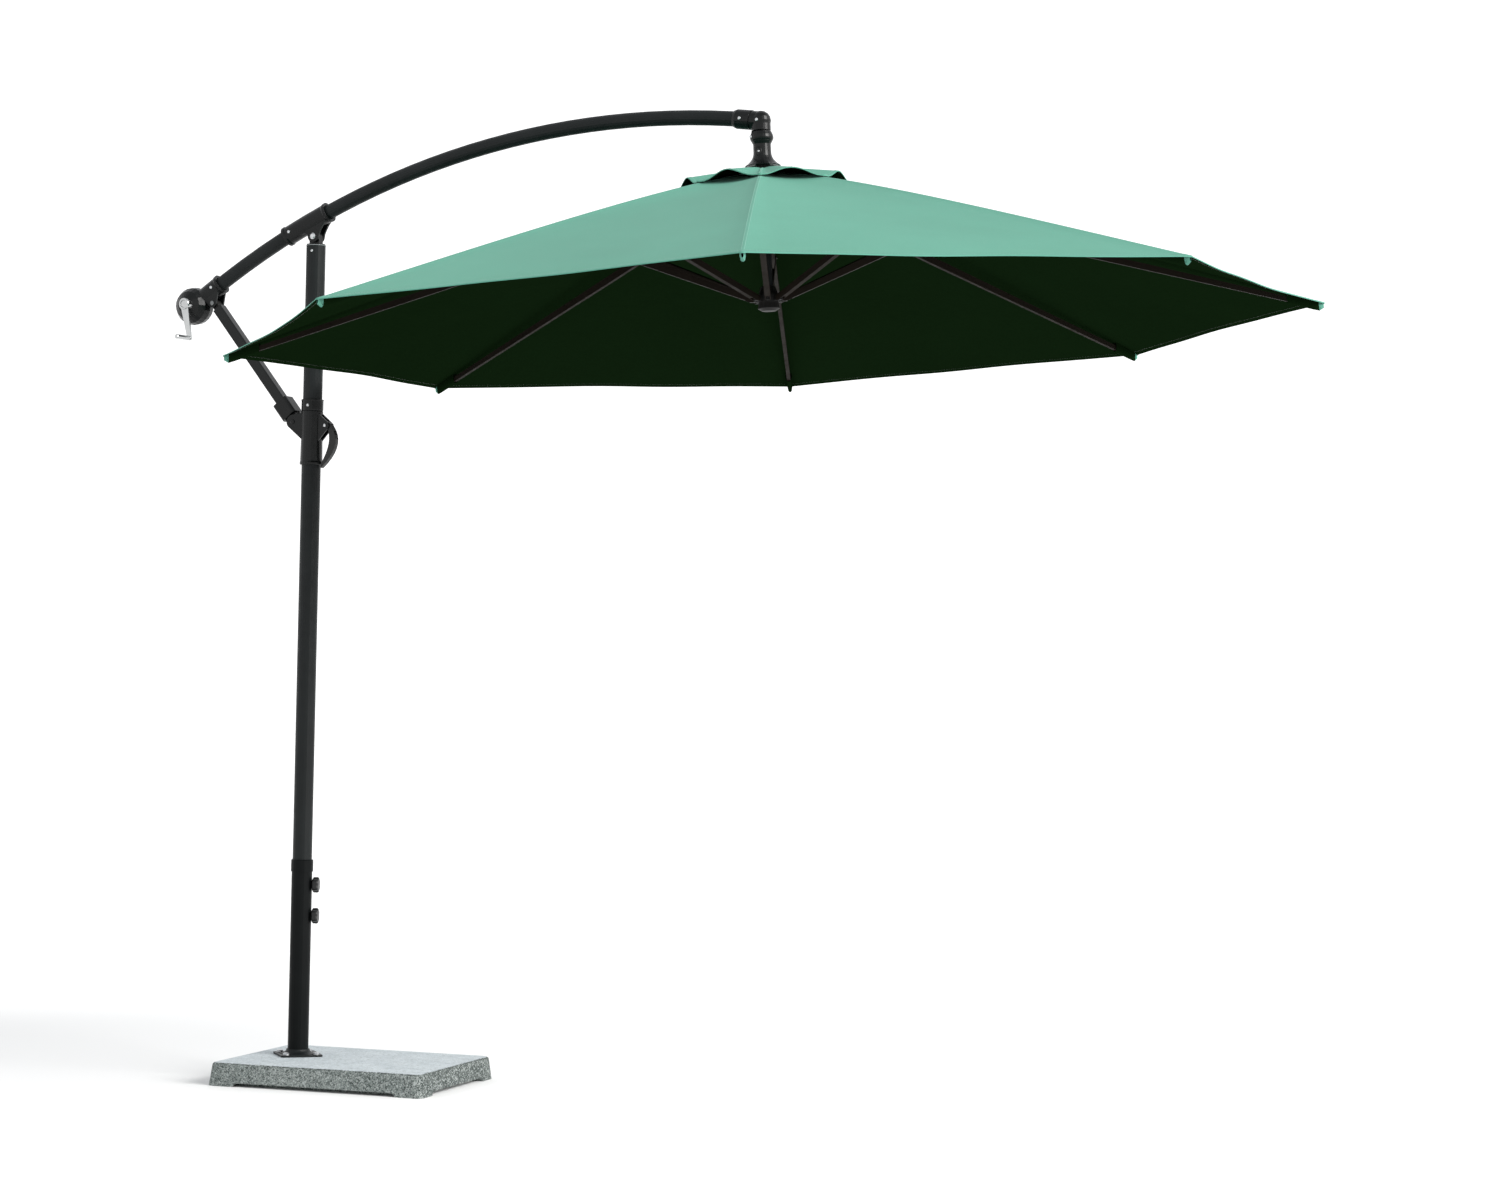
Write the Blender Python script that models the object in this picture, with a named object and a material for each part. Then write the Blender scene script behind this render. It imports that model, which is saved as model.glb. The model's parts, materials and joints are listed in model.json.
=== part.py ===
"""Cantilever parasol: a slab base, a turning mast, a curved boom on a sliding strut and an eight-rib canopy.

Frame: the origin is the mast's axis at the ground, +X runs along the boom to the canopy, +Z is up. Metres.
"""
import math

import bmesh
import bpy
from mathutils import Matrix, Vector

# ---- driving dimensions -------------------------------------------------------------------------------------------
FIT_GAP = 0.0003            # between pieces that are fixed together
RUN_GAP = 0.0005            # between pieces that move on each other
BOOM_GAP = 0.0006           # between the boom and what is clamped on it, which follows its curve in straight steps
SPIGOT_GAP = 0.0011         # round the elbow's spigot in the boom's end
ROUND = 24                  # sides of a large turned piece
SMALL_ROUND = 12            # sides of a pin or screw

# base
SLAB_LENGTH = 0.580
SLAB_WIDTH = 0.465
SLAB_HEIGHT = 0.059
SLAB_DRAFT = 0.006          # each side is this much wider at the ground
SLAB_EDGE = 0.0070          # round of the top edge
SLAB_CORNER = 0.018
SLAB_TURN = math.radians(7.2)
SLAB_REAR = 0.129           # mast axis to the slab's rear side
SLAB_RIGHT = 0.245          # mast axis to the slab's right side
GRIP_HEIGHT = 0.010         # hand recesses under the slab's four sides
GRIP_DEPTH = 0.030
FOOT_LENGTH = 0.065
FLANGE_SIDE = 0.109
FLANGE_PLATE = 0.005
FLANGE_CONE_RADIUS = 0.0460
FLANGE_CONE_HEIGHT = 0.017
BOLT_SQUARE = 0.078         # side of the square of the four flange bolts
BOLT_RADIUS = 0.0045
BOLT_HEAD_RADIUS = 0.0085
BOLT_HEAD_HEIGHT = 0.0055
BOLT_DEPTH = 0.032
SOCKET_WALL = 0.00125
SOCKET_TOP = 0.545
COLLAR_WALL = 0.00165
COLLAR_BOTTOM = 0.536
COLLAR_TOP = 0.567
KNOB_HEIGHTS = (0.4212, 0.5015)
KNOB_AZIMUTH = math.radians(22.0)
KNOB_RADIUS = 0.0205
KNOB_LENGTH = 0.018
KNOB_STUD = 0.0040
KNOB_STANDOFF = 0.0012

# mast
MAST_RADIUS = 0.025
SOCKET_RADIUS = MAST_RADIUS + RUN_GAP + SOCKET_WALL
COLLAR_RADIUS = SOCKET_RADIUS + FIT_GAP + COLLAR_WALL
MAST_WALL = 0.0015
MAST_BOTTOM = 0.0610
MAST_TOP = 2.165
PIVOT_HEIGHT = MAST_TOP + 0.023   # boom pivot, on the mast's axis
PIVOT_BOLT = 0.005
TONGUE_HALF = 0.0095
TONGUE_EYE = 0.0145
EAR_THICKNESS = 0.0065
EAR_EYE = 0.0160

# boom: one circular arc in the plane y = 0
TIP_RADIUS = 1.350          # canopy's middle to a rib's tip
BOOM_RADIUS = 0.019
BOOM_WALL = 0.0015
BOOM_ARC = 2.316
BOOM_ARC_X = 0.980
BOOM_RISE = BOOM_RADIUS + 0.0268   # boom's centre line above the pivot at x = 0
BOOM_REAR = -0.330
BRACKET_REAR = -0.089
BRACKET_FRONT = 0.038
BRACKET_RADIUS = BOOM_RADIUS + 0.0060
LIP = 0.0018                # raised rim of each sleeve

# crank housing
BULB_X = -0.3735
BULB_RADIUS = 0.050
BULB_WALL = 0.0040
HOUSING_MOUTH = -0.289
HOUSING_RADIUS = BOOM_RADIUS + 0.0060
STRUT_HEAD_X = -0.306       # strut's upper pin
STRUT_HEAD_Z = PIVOT_HEIGHT - 0.168
CRANK_SHAFT = 0.0060
CRANK_HUB = 0.0155
CRANK_SHIFT = 0.014         # the crank's axis lies this far in front of the bulb's middle
CRANK_HUB_OUT = 0.072       # distance of the hub's face from the plane y = 0
CRANK_LENGTH = 0.093
CRANK_LEAN = 0.018          # how far the hanging arm leans to +X
CRANK_THICKNESS = 0.0075
GRIP_RADIUS = 0.0062
GRIP_LENGTH = 0.058
SPOOL_DRUM = 0.016
SPOOL_FLANGE = 0.023
SPOOL_HALF = 0.017

# strut and slider
SLIDER_WALL = 0.0035
SLIDER_RADIUS = MAST_RADIUS + RUN_GAP + SLIDER_WALL
STRUT_FOOT_X = -(SLIDER_RADIUS + 0.018)   # strut's lower pin
STRUT_FOOT_Z = PIVOT_HEIGHT - 0.4834
STRUT_SIDE = 0.028
STRUT_WALL = 0.0015
STRUT_PIN = 0.004
STRUT_SLOT = 0.010          # radius of the roomy eye at the strut's foot
SOCKET_SIDE = STRUT_SIDE + 0.018
SOCKET_START = 0.0225       # strut socket, distances from the foot pin
SOCKET_MOUTH = 0.069
SLIDER_BOTTOM = PIVOT_HEIGHT - 0.5954
SLIDER_TOP = PIVOT_HEIGHT - 0.4550
SLIDER_COLLAR_TOP = PIVOT_HEIGHT - 0.4250
LEVER_PIN_X = SLIDER_RADIUS + 0.016
LEVER_PIN_Z = PIVOT_HEIGHT - 0.4930
LEVER_HALF = 0.0070
LUG_THICKNESS = 0.0040
LUG_EYE = 0.0122

# boom end and knuckle, in the canopy's own frame (u along +X, h along the canopy's axis)
END_SLEEVE_RADIUS = BOOM_RADIUS + 0.0055
CANOPY_X = TIP_RADIUS - 0.0406     # centre of the plane through the eight rib tips
CANOPY_DROP = 0.508215      # that plane's centre under the boom's arc
CANOPY_Z = (PIVOT_HEIGHT + BOOM_RISE - CANOPY_DROP - math.sqrt(BOOM_ARC**2 - BOOM_ARC_X**2)
            + math.sqrt(BOOM_ARC**2 - (CANOPY_X - BOOM_ARC_X) ** 2))
BOOM_FRONT = CANOPY_X - 0.0629
END_SLEEVE_FRONT = BOOM_FRONT + 0.0025
END_SLEEVE_REAR = END_SLEEVE_FRONT - 0.046
CANOPY_TILT = math.radians(4.0)
ELBOW_RADIUS = 0.0235
ELBOW_CORNER = 0.0250
KNUCKLE_U = -0.0184
KNUCKLE_H = 0.4739
CUP_TOP = 0.4868
CUP_RADIUS = 0.0293
CUP_WALL = 0.0035
NECK_TOP = 0.4560
NECK_RADIUS = 0.0220
NECK_BOTTOM = 0.4380
BELL_RADIUS = 0.0445
BELL_BOTTOM = 0.4014
KNUCKLE_GAP = 0.0024
KNUCKLE_TONGUE = 0.0080
PULLEY_RADIUS = 0.0150
PULLEY_HALF = 0.0040

# canopy
RIBS = 8
RIDGE_H = 0.3725            # straight ridge line's height over the tip plane at the ribs' hinge circle
RIDGE_BOW = 0.0225          # how far the taut fabric's ridge arches over that straight line
RIB_HINGE_RADIUS = 0.045
RIB_WIDTH = 0.010
RIB_DEPTH = 0.018
RIB_TIP_DEPTH = 0.011
RIB_WALL = 0.0010
RIB_DROP = 0.0155           # rib's centre line under the fabric's ridge
RIB_TIP_SPARE = 0.012
STRETCHER_HINGE_RADIUS = 0.040
STRETCHER_HINGE_H = 0.075
STRETCHER_REACH = 0.455     # radius at which stretcher and rib meet
STRETCHER_DEPTH = 0.0150
STRETCHER_CHEEK = 0.0015
STRETCHER_FORK = 0.090      # length of the open fork at the outer end
HUB_TOP_H = 0.3590
HUB_BOTTOM_H = 0.3340
HUB_RADIUS = 0.0560
HUB_CORE = 0.0350
RUNNER_TUBE = 0.0120
RUNNER_BOTTOM_H = 0.045
RUNNER_TOP_H = 0.105
RUNNER_CORE = 0.0250
COVER_THICKNESS = 0.0025
COVER_HOLE = 0.0300
PANEL_DIP = 0.012           # how far a panel hollows between its ribs
HEM_SCALLOP = 0.0230
VENT_RADIUS = 0.218
VENT_LIFT = 0.032           # height of the vent flap's waves between the ribs
VENT_PEAK = 0.005           # height the vent flap gains towards the neck
VENT_GAP = 0.0030
VENT_HOLE = 0.0240

# pieces that pass through or into one another
FOOT_TONGUE = STRUT_SIDE / 2.0 - 0.0005   # half thickness of the strut's foot eye
FOOT_EAR = 0.0070
FOOT_EYE = 0.0185
COLLAR_SCREW_AZIMUTH = math.radians(-83.0)
HUB_STEM = 0.0180
NECK_STOP = 0.4420

UP = Vector((0.0, 0.0, 1.0))
SIDE = Vector((0.0, 1.0, 0.0))


# ---- materials ----------------------------------------------------------------------------------------------------
MATERIALS = {
    "concrete": ((0.33, 0.33, 0.32), 0.85, 0.0),
    "frame_paint": ((0.030, 0.036, 0.038), 0.42, 0.25),
    "casting_paint": ((0.022, 0.027, 0.029), 0.50, 0.20),
    "black_plastic": ((0.012, 0.012, 0.013), 0.45, 0.0),
    "hub_plastic": ((0.020, 0.022, 0.022), 0.55, 0.0),
    "chrome": ((0.75, 0.76, 0.77), 0.12, 1.0),
    "zinc": ((0.62, 0.63, 0.64), 0.30, 1.0),
    "rib_paint": ((0.028, 0.026, 0.024), 0.50, 0.30),
    "canopy_fabric": ((0.055, 0.200, 0.125), 0.90, 0.0),
}


def material(name):
    """The named Principled material, made on first use."""
    found = bpy.data.materials.get(name)
    if found:
        return found
    colour, roughness, metallic = MATERIALS[name]
    made = bpy.data.materials.new(name)
    made.use_nodes = True
    shader = made.node_tree.nodes["Principled BSDF"]
    shader.inputs["Base Color"].default_value = (*colour, 1.0)
    shader.inputs["Roughness"].default_value = roughness
    shader.inputs["Metallic"].default_value = metallic
    return made


# ---- frames -------------------------------------------------------------------------------------------------------
def frame(origin, z_axis, x_hint):
    """A frame at origin with its Z along z_axis and its X as near x_hint as can be."""
    z = Vector(z_axis).normalized()
    y = z.cross(Vector(x_hint)).normalized()
    x = y.cross(z)
    columns = Matrix((x, y, z)).transposed().to_4x4()
    return Matrix.Translation(origin) @ columns


def boom_centre_z():
    """Height of the centre of the boom's arc."""
    return PIVOT_HEIGHT + BOOM_RISE - math.sqrt(BOOM_ARC**2 - BOOM_ARC_X**2)


def boom_frame(x):
    """The boom's cross-section at x: Z along the boom to the front, X away from the arc's centre."""
    angle = math.asin((x - BOOM_ARC_X) / BOOM_ARC)
    outward = Vector((math.sin(angle), 0.0, math.cos(angle)))
    centre = Vector((BOOM_ARC_X, 0.0, boom_centre_z())) + BOOM_ARC * outward
    along = Vector((math.cos(angle), 0.0, -math.sin(angle)))
    return frame(centre, along, outward)


def canopy_frame():
    """The canopy's own frame: origin in the middle of the rib-tip plane, Z along its axis."""
    return Matrix.Translation((CANOPY_X, 0.0, CANOPY_Z)) @ Matrix.Rotation(-CANOPY_TILT, 4, "Y")


def strut_frame():
    """Origin on the strut's foot pin, Z along the strut to its head, Y across the object."""
    foot = Vector((STRUT_FOOT_X, 0.0, STRUT_FOOT_Z))
    head = Vector((STRUT_HEAD_X, 0.0, STRUT_HEAD_Z))
    return frame(foot, head - foot, (1.0, 0.0, 0.0))


def across(x, z, y=0.0):
    """A frame at (x, y, z) with its Z along +Y, for pins and bores that cross the object."""
    return frame((x, y, z), SIDE, (1.0, 0.0, 0.0))


# ---- modelling helpers --------------------------------------------------------------------------------------------
def link(name, mesh, material_name):
    thing = bpy.data.objects.new(name, mesh)
    bpy.context.scene.collection.objects.link(thing)
    if material_name and not mesh.materials:
        mesh.materials.append(material(material_name))
    return thing


def loft(name, rings, material_name=None, closed=False):
    """A body through rings of points: closed joins the last ring to the first, otherwise both ends are capped."""
    shape = bmesh.new()
    loops = [[shape.verts.new(point) for point in ring] for ring in rings]
    pairs = list(zip(loops, loops[1:] + loops[:1] if closed else loops[1:]))
    for lower, upper in pairs:
        count = len(lower)
        for i in range(count):
            j = (i + 1) % count
            shape.faces.new((lower[i], lower[j], upper[j], upper[i]))
    if not closed:
        shape.faces.new(reversed(loops[0]))
        shape.faces.new(loops[-1])
    bmesh.ops.recalc_face_normals(shape, faces=shape.faces)
    mesh = bpy.data.meshes.new(name)
    shape.to_mesh(mesh)
    shape.free()
    return link(name, mesh, material_name)


def circle(place, radius, sides, height=0.0, phase=0.0):
    """Points of a circle in the XY plane of a frame; phase turns it, in steps between two points."""
    turn = 2.0 * math.pi / sides
    angles = [(i + phase) * turn for i in range(sides)]
    return [place @ Vector((radius * math.cos(a), radius * math.sin(a), height)) for a in angles]


def turned(name, place, profile, material_name=None, sides=ROUND, closed=False, phase=0.0):
    """A turned piece: profile is (radius, height) pairs about the frame's Z."""
    return loft(name, [circle(place, r, sides, h, phase) for r, h in profile], material_name, closed)


def tube(name, place, inner, outer, bottom, top, material_name=None, sides=ROUND):
    return turned(name, place, [(inner, bottom), (outer, bottom), (outer, top), (inner, top)],
                  material_name, sides, closed=True)


def along_boom(name, profile, material_name=None, sides=ROUND, closed=False):
    """A turned piece bent along the boom: profile is (radius, x) pairs."""
    return loft(name, [circle(boom_frame(x), r, sides) for r, x in profile], material_name, closed)


def extruded(name, outline, place, near, far, material_name=None):
    """An outline of (x, y) points in a frame's XY plane, extruded from near to far along its Z."""
    rings = [[place @ Vector((x, y, depth)) for x, y in outline] for depth in (near, far)]
    return loft(name, rings, material_name)


def hull(circles, sides=24):
    """The outline of a band stretched round circles of (x, y, radius)."""
    points = set()
    for x, y, radius in circles:
        steps = sides if radius > 0.0 else 1
        for i in range(steps):
            angle = 2.0 * math.pi * i / steps
            points.add((round(x + radius * math.cos(angle), 7), round(y + radius * math.sin(angle), 7)))
    points = sorted(points)

    def half(run):
        chain = []
        for p in run:
            while len(chain) > 1 and turn_of(chain[-2], chain[-1], p) <= 1e-12:
                chain.pop()
            chain.append(p)
        return chain[:-1]

    return half(points) + half(points[::-1])


def turn_of(a, b, c):
    return (b[0] - a[0]) * (c[1] - a[1]) - (b[1] - a[1]) * (c[0] - a[0])


def rounded_rectangle(half_x, half_y, radius, steps=4):
    """Outline of a rectangle with round corners, counter-clockwise."""
    points = []
    for corner in range(4):
        sx, sy = ((1, 1), (-1, 1), (-1, -1), (1, -1))[corner]
        for i in range(steps + 1):
            angle = math.radians(90.0 * corner + 90.0 * i / steps)
            points.append((sx * (half_x - radius) + radius * math.cos(angle),
                           sy * (half_y - radius) + radius * math.sin(angle)))
    return points


def combine(target, tool, operation):
    """Boolean of two closed bodies, applied at once; the tool is removed."""
    modifier = target.modifiers.new("combine", "BOOLEAN")
    modifier.operation = operation
    modifier.object = tool
    modifier.solver = "EXACT"
    graph = bpy.context.evaluated_depsgraph_get()
    graph.update()
    mesh = bpy.data.meshes.new_from_object(target.evaluated_get(graph))
    old = target.data
    target.modifiers.clear()
    target.data = mesh
    mesh.name = target.name
    bpy.data.meshes.remove(old)
    bpy.data.objects.remove(tool)
    return target


def cut(target, *tools):
    for tool in tools:
        combine(target, tool, "DIFFERENCE")
    return target


def join(target, *tools):
    for tool in tools:
        combine(target, tool, "UNION")
    return target


def bore(place, radius, near, far, sides=SMALL_ROUND):
    """A round cutter or rod along a frame's Z, turned so that its edges miss those of the round piece it cuts."""
    return turned("bore", place, [(radius, near), (radius, far)], sides=sides, phase=0.37)


def screw(name, place, head_radius, head_height, shank_radius, shank_length, material_name="zinc"):
    """A domed screw: its head stands on the frame's XY plane, its shank runs down -Z."""
    profile = [
        (shank_radius, -shank_length),
        (shank_radius, 0.0),
        (head_radius, 0.0),
        (head_radius, head_height * 0.45),
        (head_radius * 0.72, head_height * 0.88),
        (head_radius * 0.30, head_height),
    ]
    return turned(name, place, profile, material_name, sides=SMALL_ROUND)


def cross_pin(name, x, z, half, radius, head_radius, head_height, material_name="zinc"):
    """A pin across the object with a head at each end."""
    profile = [
        (head_radius * 0.6, -half - head_height),
        (head_radius, -half - head_height * 0.5),
        (head_radius, -half),
        (radius, -half),
        (radius, half),
        (head_radius, half),
        (head_radius, half + head_height * 0.5),
        (head_radius * 0.6, half + head_height),
    ]
    return turned(name, across(x, z), profile, material_name, sides=SMALL_ROUND)


def facing(azimuth, radius, height):
    """A frame on a vertical cylinder round the mast, Z pointing straight out at an azimuth."""
    out = Vector((math.cos(azimuth), math.sin(azimuth), 0.0))
    return frame(out * radius + UP * height, out, UP)


def body(name, place):
    """An empty on a joint's axis that carries the pieces of one moving body."""
    empty = bpy.data.objects.new(name, None)
    empty.empty_display_size = 0.05
    empty.matrix_world = place
    bpy.context.scene.collection.objects.link(empty)
    return empty


def carry(empty, parent, pieces):
    """Put pieces under an empty, with their origins on it, and the empty under its own parent."""
    place = empty.matrix_world.copy()
    for piece in pieces:
        piece.data.transform(place.inverted() @ piece.matrix_world)
        piece.parent = empty
        piece.matrix_parent_inverse = Matrix.Identity(4)
        piece.matrix_basis = Matrix.Identity(4)
    if parent is not None:
        empty.parent = parent
        empty.matrix_parent_inverse = parent.matrix_world.inverted()
        empty.matrix_basis = place
    bpy.context.view_layer.update()


# ---- base ---------------------------------------------------------------------------------------------------------
def slab_frame():
    centre = Vector((SLAB_LENGTH / 2.0 - SLAB_REAR, SLAB_WIDTH / 2.0 - SLAB_RIGHT, 0.0))
    return Matrix.Rotation(SLAB_TURN, 4, "Z") @ Matrix.Translation(centre)


def flange_frame():
    return Matrix.Translation((0.0, 0.0, SLAB_HEIGHT)) @ Matrix.Rotation(math.radians(45.0), 4, "Z")


def bolt_places():
    half = BOLT_SQUARE / 2.0
    plate = flange_frame()
    return [plate @ Matrix.Translation((sx * half, sy * half, 0.0)) for sx, sy in
            ((1, 1), (-1, 1), (-1, -1), (1, -1))]


def base_slab():
    place = slab_frame()

    def ring(height, grow):
        outline = rounded_rectangle(SLAB_LENGTH / 2.0 + grow, SLAB_WIDTH / 2.0 + grow, SLAB_CORNER)
        return [place @ Vector((x, y, height)) for x, y in outline]

    rings = [ring(0.0, SLAB_DRAFT)]
    steps = 3
    for i in range(steps + 1):
        angle = math.radians(90.0 * i / steps)
        rings.append(ring(SLAB_HEIGHT - SLAB_EDGE * (1.0 - math.sin(angle)), -SLAB_EDGE * (1.0 - math.cos(angle))))
    slab = loft("base_slab", rings, "concrete")
    for turn, half_run, half_reach in ((0.0, SLAB_WIDTH / 2.0, SLAB_LENGTH / 2.0),
                                       (90.0, SLAB_LENGTH / 2.0, SLAB_WIDTH / 2.0)):
        run = half_run - FOOT_LENGTH
        outline = [(-run, -GRIP_HEIGHT), (-run, 0.0)]
        for i in range(1, 5):
            angle = math.radians(22.5 * i)
            outline.append((-run + GRIP_HEIGHT * 2.0 * (1.0 - math.cos(angle)), GRIP_HEIGHT * math.sin(angle)))
        outline += [(-x, z) for x, z in reversed(outline)]
        for way in (1.0, -1.0):
            side = place @ Matrix.Rotation(math.radians(turn), 4, "Z")
            side = side @ Matrix.Translation((way * half_reach, 0.0, 0.0)) @ frame((0, 0, 0), (way, 0, 0), (0, 1, 0))
            shape = [(x, z * (1.0 if side.to_3x3().col[1].z > 0.0 else -1.0)) for x, z in outline]
            cut(slab, extruded("grip_recess", shape, side, -GRIP_DEPTH, SLAB_DRAFT * 2.0))
    for spot in bolt_places():
        cut(slab, bore(spot, BOLT_RADIUS + FIT_GAP, -BOLT_DEPTH - 0.002, 0.01))
    return slab


def base_flange():
    place = flange_frame()
    half = FLANGE_SIDE / 2.0
    plate = extruded("base_flange", rounded_rectangle(half, half, 0.008), place, FIT_GAP, FLANGE_PLATE, "frame_paint")
    cone = [(FLANGE_CONE_RADIUS, FLANGE_PLATE / 2.0), (FLANGE_CONE_RADIUS, FLANGE_PLATE + 0.001)]
    rise = FLANGE_CONE_HEIGHT - FLANGE_PLATE - 0.001
    waist = SOCKET_RADIUS + 0.003
    for i in range(1, 5):
        angle = math.radians(22.5 * i)
        cone.append((FLANGE_CONE_RADIUS - (FLANGE_CONE_RADIUS - waist) * math.sin(angle),
                     FLANGE_PLATE + 0.001 + rise * (1.0 - math.cos(angle))))
    join(plate, turned("cone", place, cone))
    cut(plate, bore(place, SOCKET_RADIUS + FIT_GAP, -0.01, 0.05, ROUND))
    for spot in bolt_places():
        cut(plate, bore(spot, BOLT_RADIUS + FIT_GAP, -0.01, 0.02))
    return plate


def flange_bolts():
    bolts = []
    for number, spot in enumerate(bolt_places(), 1):
        seat = FLANGE_PLATE + FIT_GAP
        head = [(BOLT_RADIUS, -BOLT_DEPTH), (BOLT_RADIUS, seat), (BOLT_HEAD_RADIUS, seat),
                (BOLT_HEAD_RADIUS, seat + BOLT_HEAD_HEIGHT * 0.8), (BOLT_HEAD_RADIUS * 0.8, seat + BOLT_HEAD_HEIGHT)]
        bolts.append(turned(f"flange_bolt_{number}", spot, head, "zinc", sides=6 * 2))
    return bolts


def socket_tube():
    inner = MAST_RADIUS + RUN_GAP
    piece = tube("socket_tube", Matrix.Identity(4), inner, SOCKET_RADIUS, SLAB_HEIGHT + FIT_GAP, SOCKET_TOP,
                 "frame_paint")
    for height in KNOB_HEIGHTS:
        cut(piece, bore(facing(KNOB_AZIMUTH, 0.0, height), KNOB_STUD + FIT_GAP, 0.010, 0.040))
    return piece


def socket_collar():
    inner = MAST_RADIUS + RUN_GAP
    seat = SOCKET_RADIUS + FIT_GAP
    ledge = SOCKET_TOP + FIT_GAP
    profile = [
        (seat, COLLAR_BOTTOM), (COLLAR_RADIUS, COLLAR_BOTTOM), (COLLAR_RADIUS, COLLAR_TOP - 0.002),
        (COLLAR_RADIUS - 0.0015, COLLAR_TOP), (inner, COLLAR_TOP), (inner, ledge), (seat, ledge),
    ]
    return turned("socket_collar", Matrix.Identity(4), profile, "black_plastic", closed=True)


def knob_place(height):
    return facing(KNOB_AZIMUTH, SOCKET_RADIUS + KNOB_STANDOFF, height)


def clamp_knob(name, height):
    """A lobed hand knob with its stud through the socket's wall."""
    place = knob_place(height)
    lobes, sides = 6, 36

    def ring(scale, depth):
        points = []
        for i in range(sides):
            angle = 2.0 * math.pi * i / sides
            radius = scale * (KNOB_RADIUS - 0.0014 * (1.0 - math.cos(lobes * angle)))
            points.append(place @ Vector((radius * math.cos(angle), radius * math.sin(angle), depth)))
        return points

    knob = loft(name, [ring(0.72, 0.0), ring(0.98, 0.0035), ring(1.0, KNOB_LENGTH - 0.004),
                       ring(0.90, KNOB_LENGTH - 0.0008), ring(0.60, KNOB_LENGTH)], "black_plastic")
    reach = SOCKET_RADIUS + KNOB_STANDOFF - MAST_RADIUS - FIT_GAP
    return join(knob, bore(place, KNOB_STUD, -reach, 0.002))


# ---- mast ---------------------------------------------------------------------------------------------------------
def mast_tube():
    return tube("mast_tube", Matrix.Identity(4), MAST_RADIUS - MAST_WALL, MAST_RADIUS, MAST_BOTTOM, MAST_TOP,
                "frame_paint")


def mast_head():
    """The plug in the mast's top, whose tongue carries the boom."""
    spigot = MAST_RADIUS - MAST_WALL - FIT_GAP
    flange_top = MAST_TOP + 0.003
    profile = [(spigot, MAST_TOP - 0.060), (spigot, MAST_TOP + FIT_GAP), (MAST_RADIUS - 0.0004, MAST_TOP + FIT_GAP),
               (MAST_RADIUS - 0.0004, flange_top), (MAST_RADIUS - 0.0030, flange_top + 0.0006)]
    head = turned("mast_head", Matrix.Identity(4), profile, "casting_paint")
    outline = hull([(0.0, PIVOT_HEIGHT, TONGUE_EYE), (-TONGUE_EYE, MAST_TOP, 0.0), (TONGUE_EYE, MAST_TOP, 0.0)])
    join(head, extruded("tongue", flat_outline(outline), across(0.0, 0.0), -TONGUE_HALF, TONGUE_HALF))
    return cut(head, bore(across(0.0, PIVOT_HEIGHT), PIVOT_BOLT + FIT_GAP, -0.05, 0.05))


def flat_outline(outline):
    """(x, z) points turned for a frame made by across(), whose Y may point down."""
    sign = 1.0 if across(0.0, 0.0).to_3x3().col[1].z > 0.0 else -1.0
    return [(x, sign * z) for x, z in outline]


def plate_xz(name, circles, near, far, material_name=None):
    """A plate in the plane y = 0: the band round circles of (x, z, radius), from near to far along Y."""
    return extruded(name, flat_outline(hull(circles)), across(0.0, 0.0), near, far, material_name)


# ---- boom ---------------------------------------------------------------------------------------------------------
def stations(start, stop, steps):
    return [start + (stop - start) * i / steps for i in range(steps + 1)]


def boom_tube():
    outer = [(BOOM_RADIUS, x) for x in stations(BOOM_REAR, BOOM_FRONT, 28)]
    inner = [(BOOM_RADIUS - BOOM_WALL, x) for x in stations(BOOM_FRONT, BOOM_REAR, 14)]
    return along_boom("boom_tube", outer + inner, "frame_paint", sides=20, closed=True)


def sleeve(name, start, stop, radius, material_name, lips=(True, True)):
    """A clamp sleeve on the boom with a raised lip at its ends."""
    width = 0.006
    inner = BOOM_RADIUS + BOOM_GAP
    profile = [(inner, start)]
    if lips[0]:
        profile += [(radius + LIP, start), (radius + LIP, start + width), (radius, start + width * 1.5)]
    else:
        profile += [(radius - 0.0030, start), (radius, start + 0.008)]
    middle = (start + stop) / 2.0
    profile += [(radius, middle)]
    if lips[1]:
        profile += [(radius, stop - width * 1.5), (radius + LIP, stop - width), (radius + LIP, stop)]
    else:
        profile += [(radius, stop)]
    profile += [(inner, stop), (inner, middle)]
    return along_boom(name, profile, material_name, closed=True)


def ear_faces():
    near = TONGUE_HALF + RUN_GAP
    return near, near + EAR_THICKNESS


def ear_outline():
    """The ear's (x, z) points: round under the pivot, with hollow flanks that run out on the sleeve."""
    def under(x, depth):
        place = boom_frame(x)
        spot = place.translation - place.to_3x3().col[0] * depth
        return spot.x, spot.z
    sunk = BRACKET_RADIUS - 0.007
    rear, front = under(BRACKET_REAR + 0.024, sunk), under(BRACKET_FRONT - 0.008, sunk)
    left, right = (-EAR_EYE, PIVOT_HEIGHT), (EAR_EYE, PIVOT_HEIGHT)
    flank = bend(rear, (-EAR_EYE, PIVOT_HEIGHT + 0.014), left, 6)
    arc = [(EAR_EYE * math.cos(t), PIVOT_HEIGHT + EAR_EYE * math.sin(t))
           for t in (math.pi + math.pi * i / 12 for i in range(1, 12))]
    rise = bend(right, (EAR_EYE, PIVOT_HEIGHT + 0.012), front, 4)
    return [under(BRACKET_REAR + 0.024, 0.006)] + flank + arc + rise + [under(BRACKET_FRONT - 0.008, 0.006)]


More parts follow.
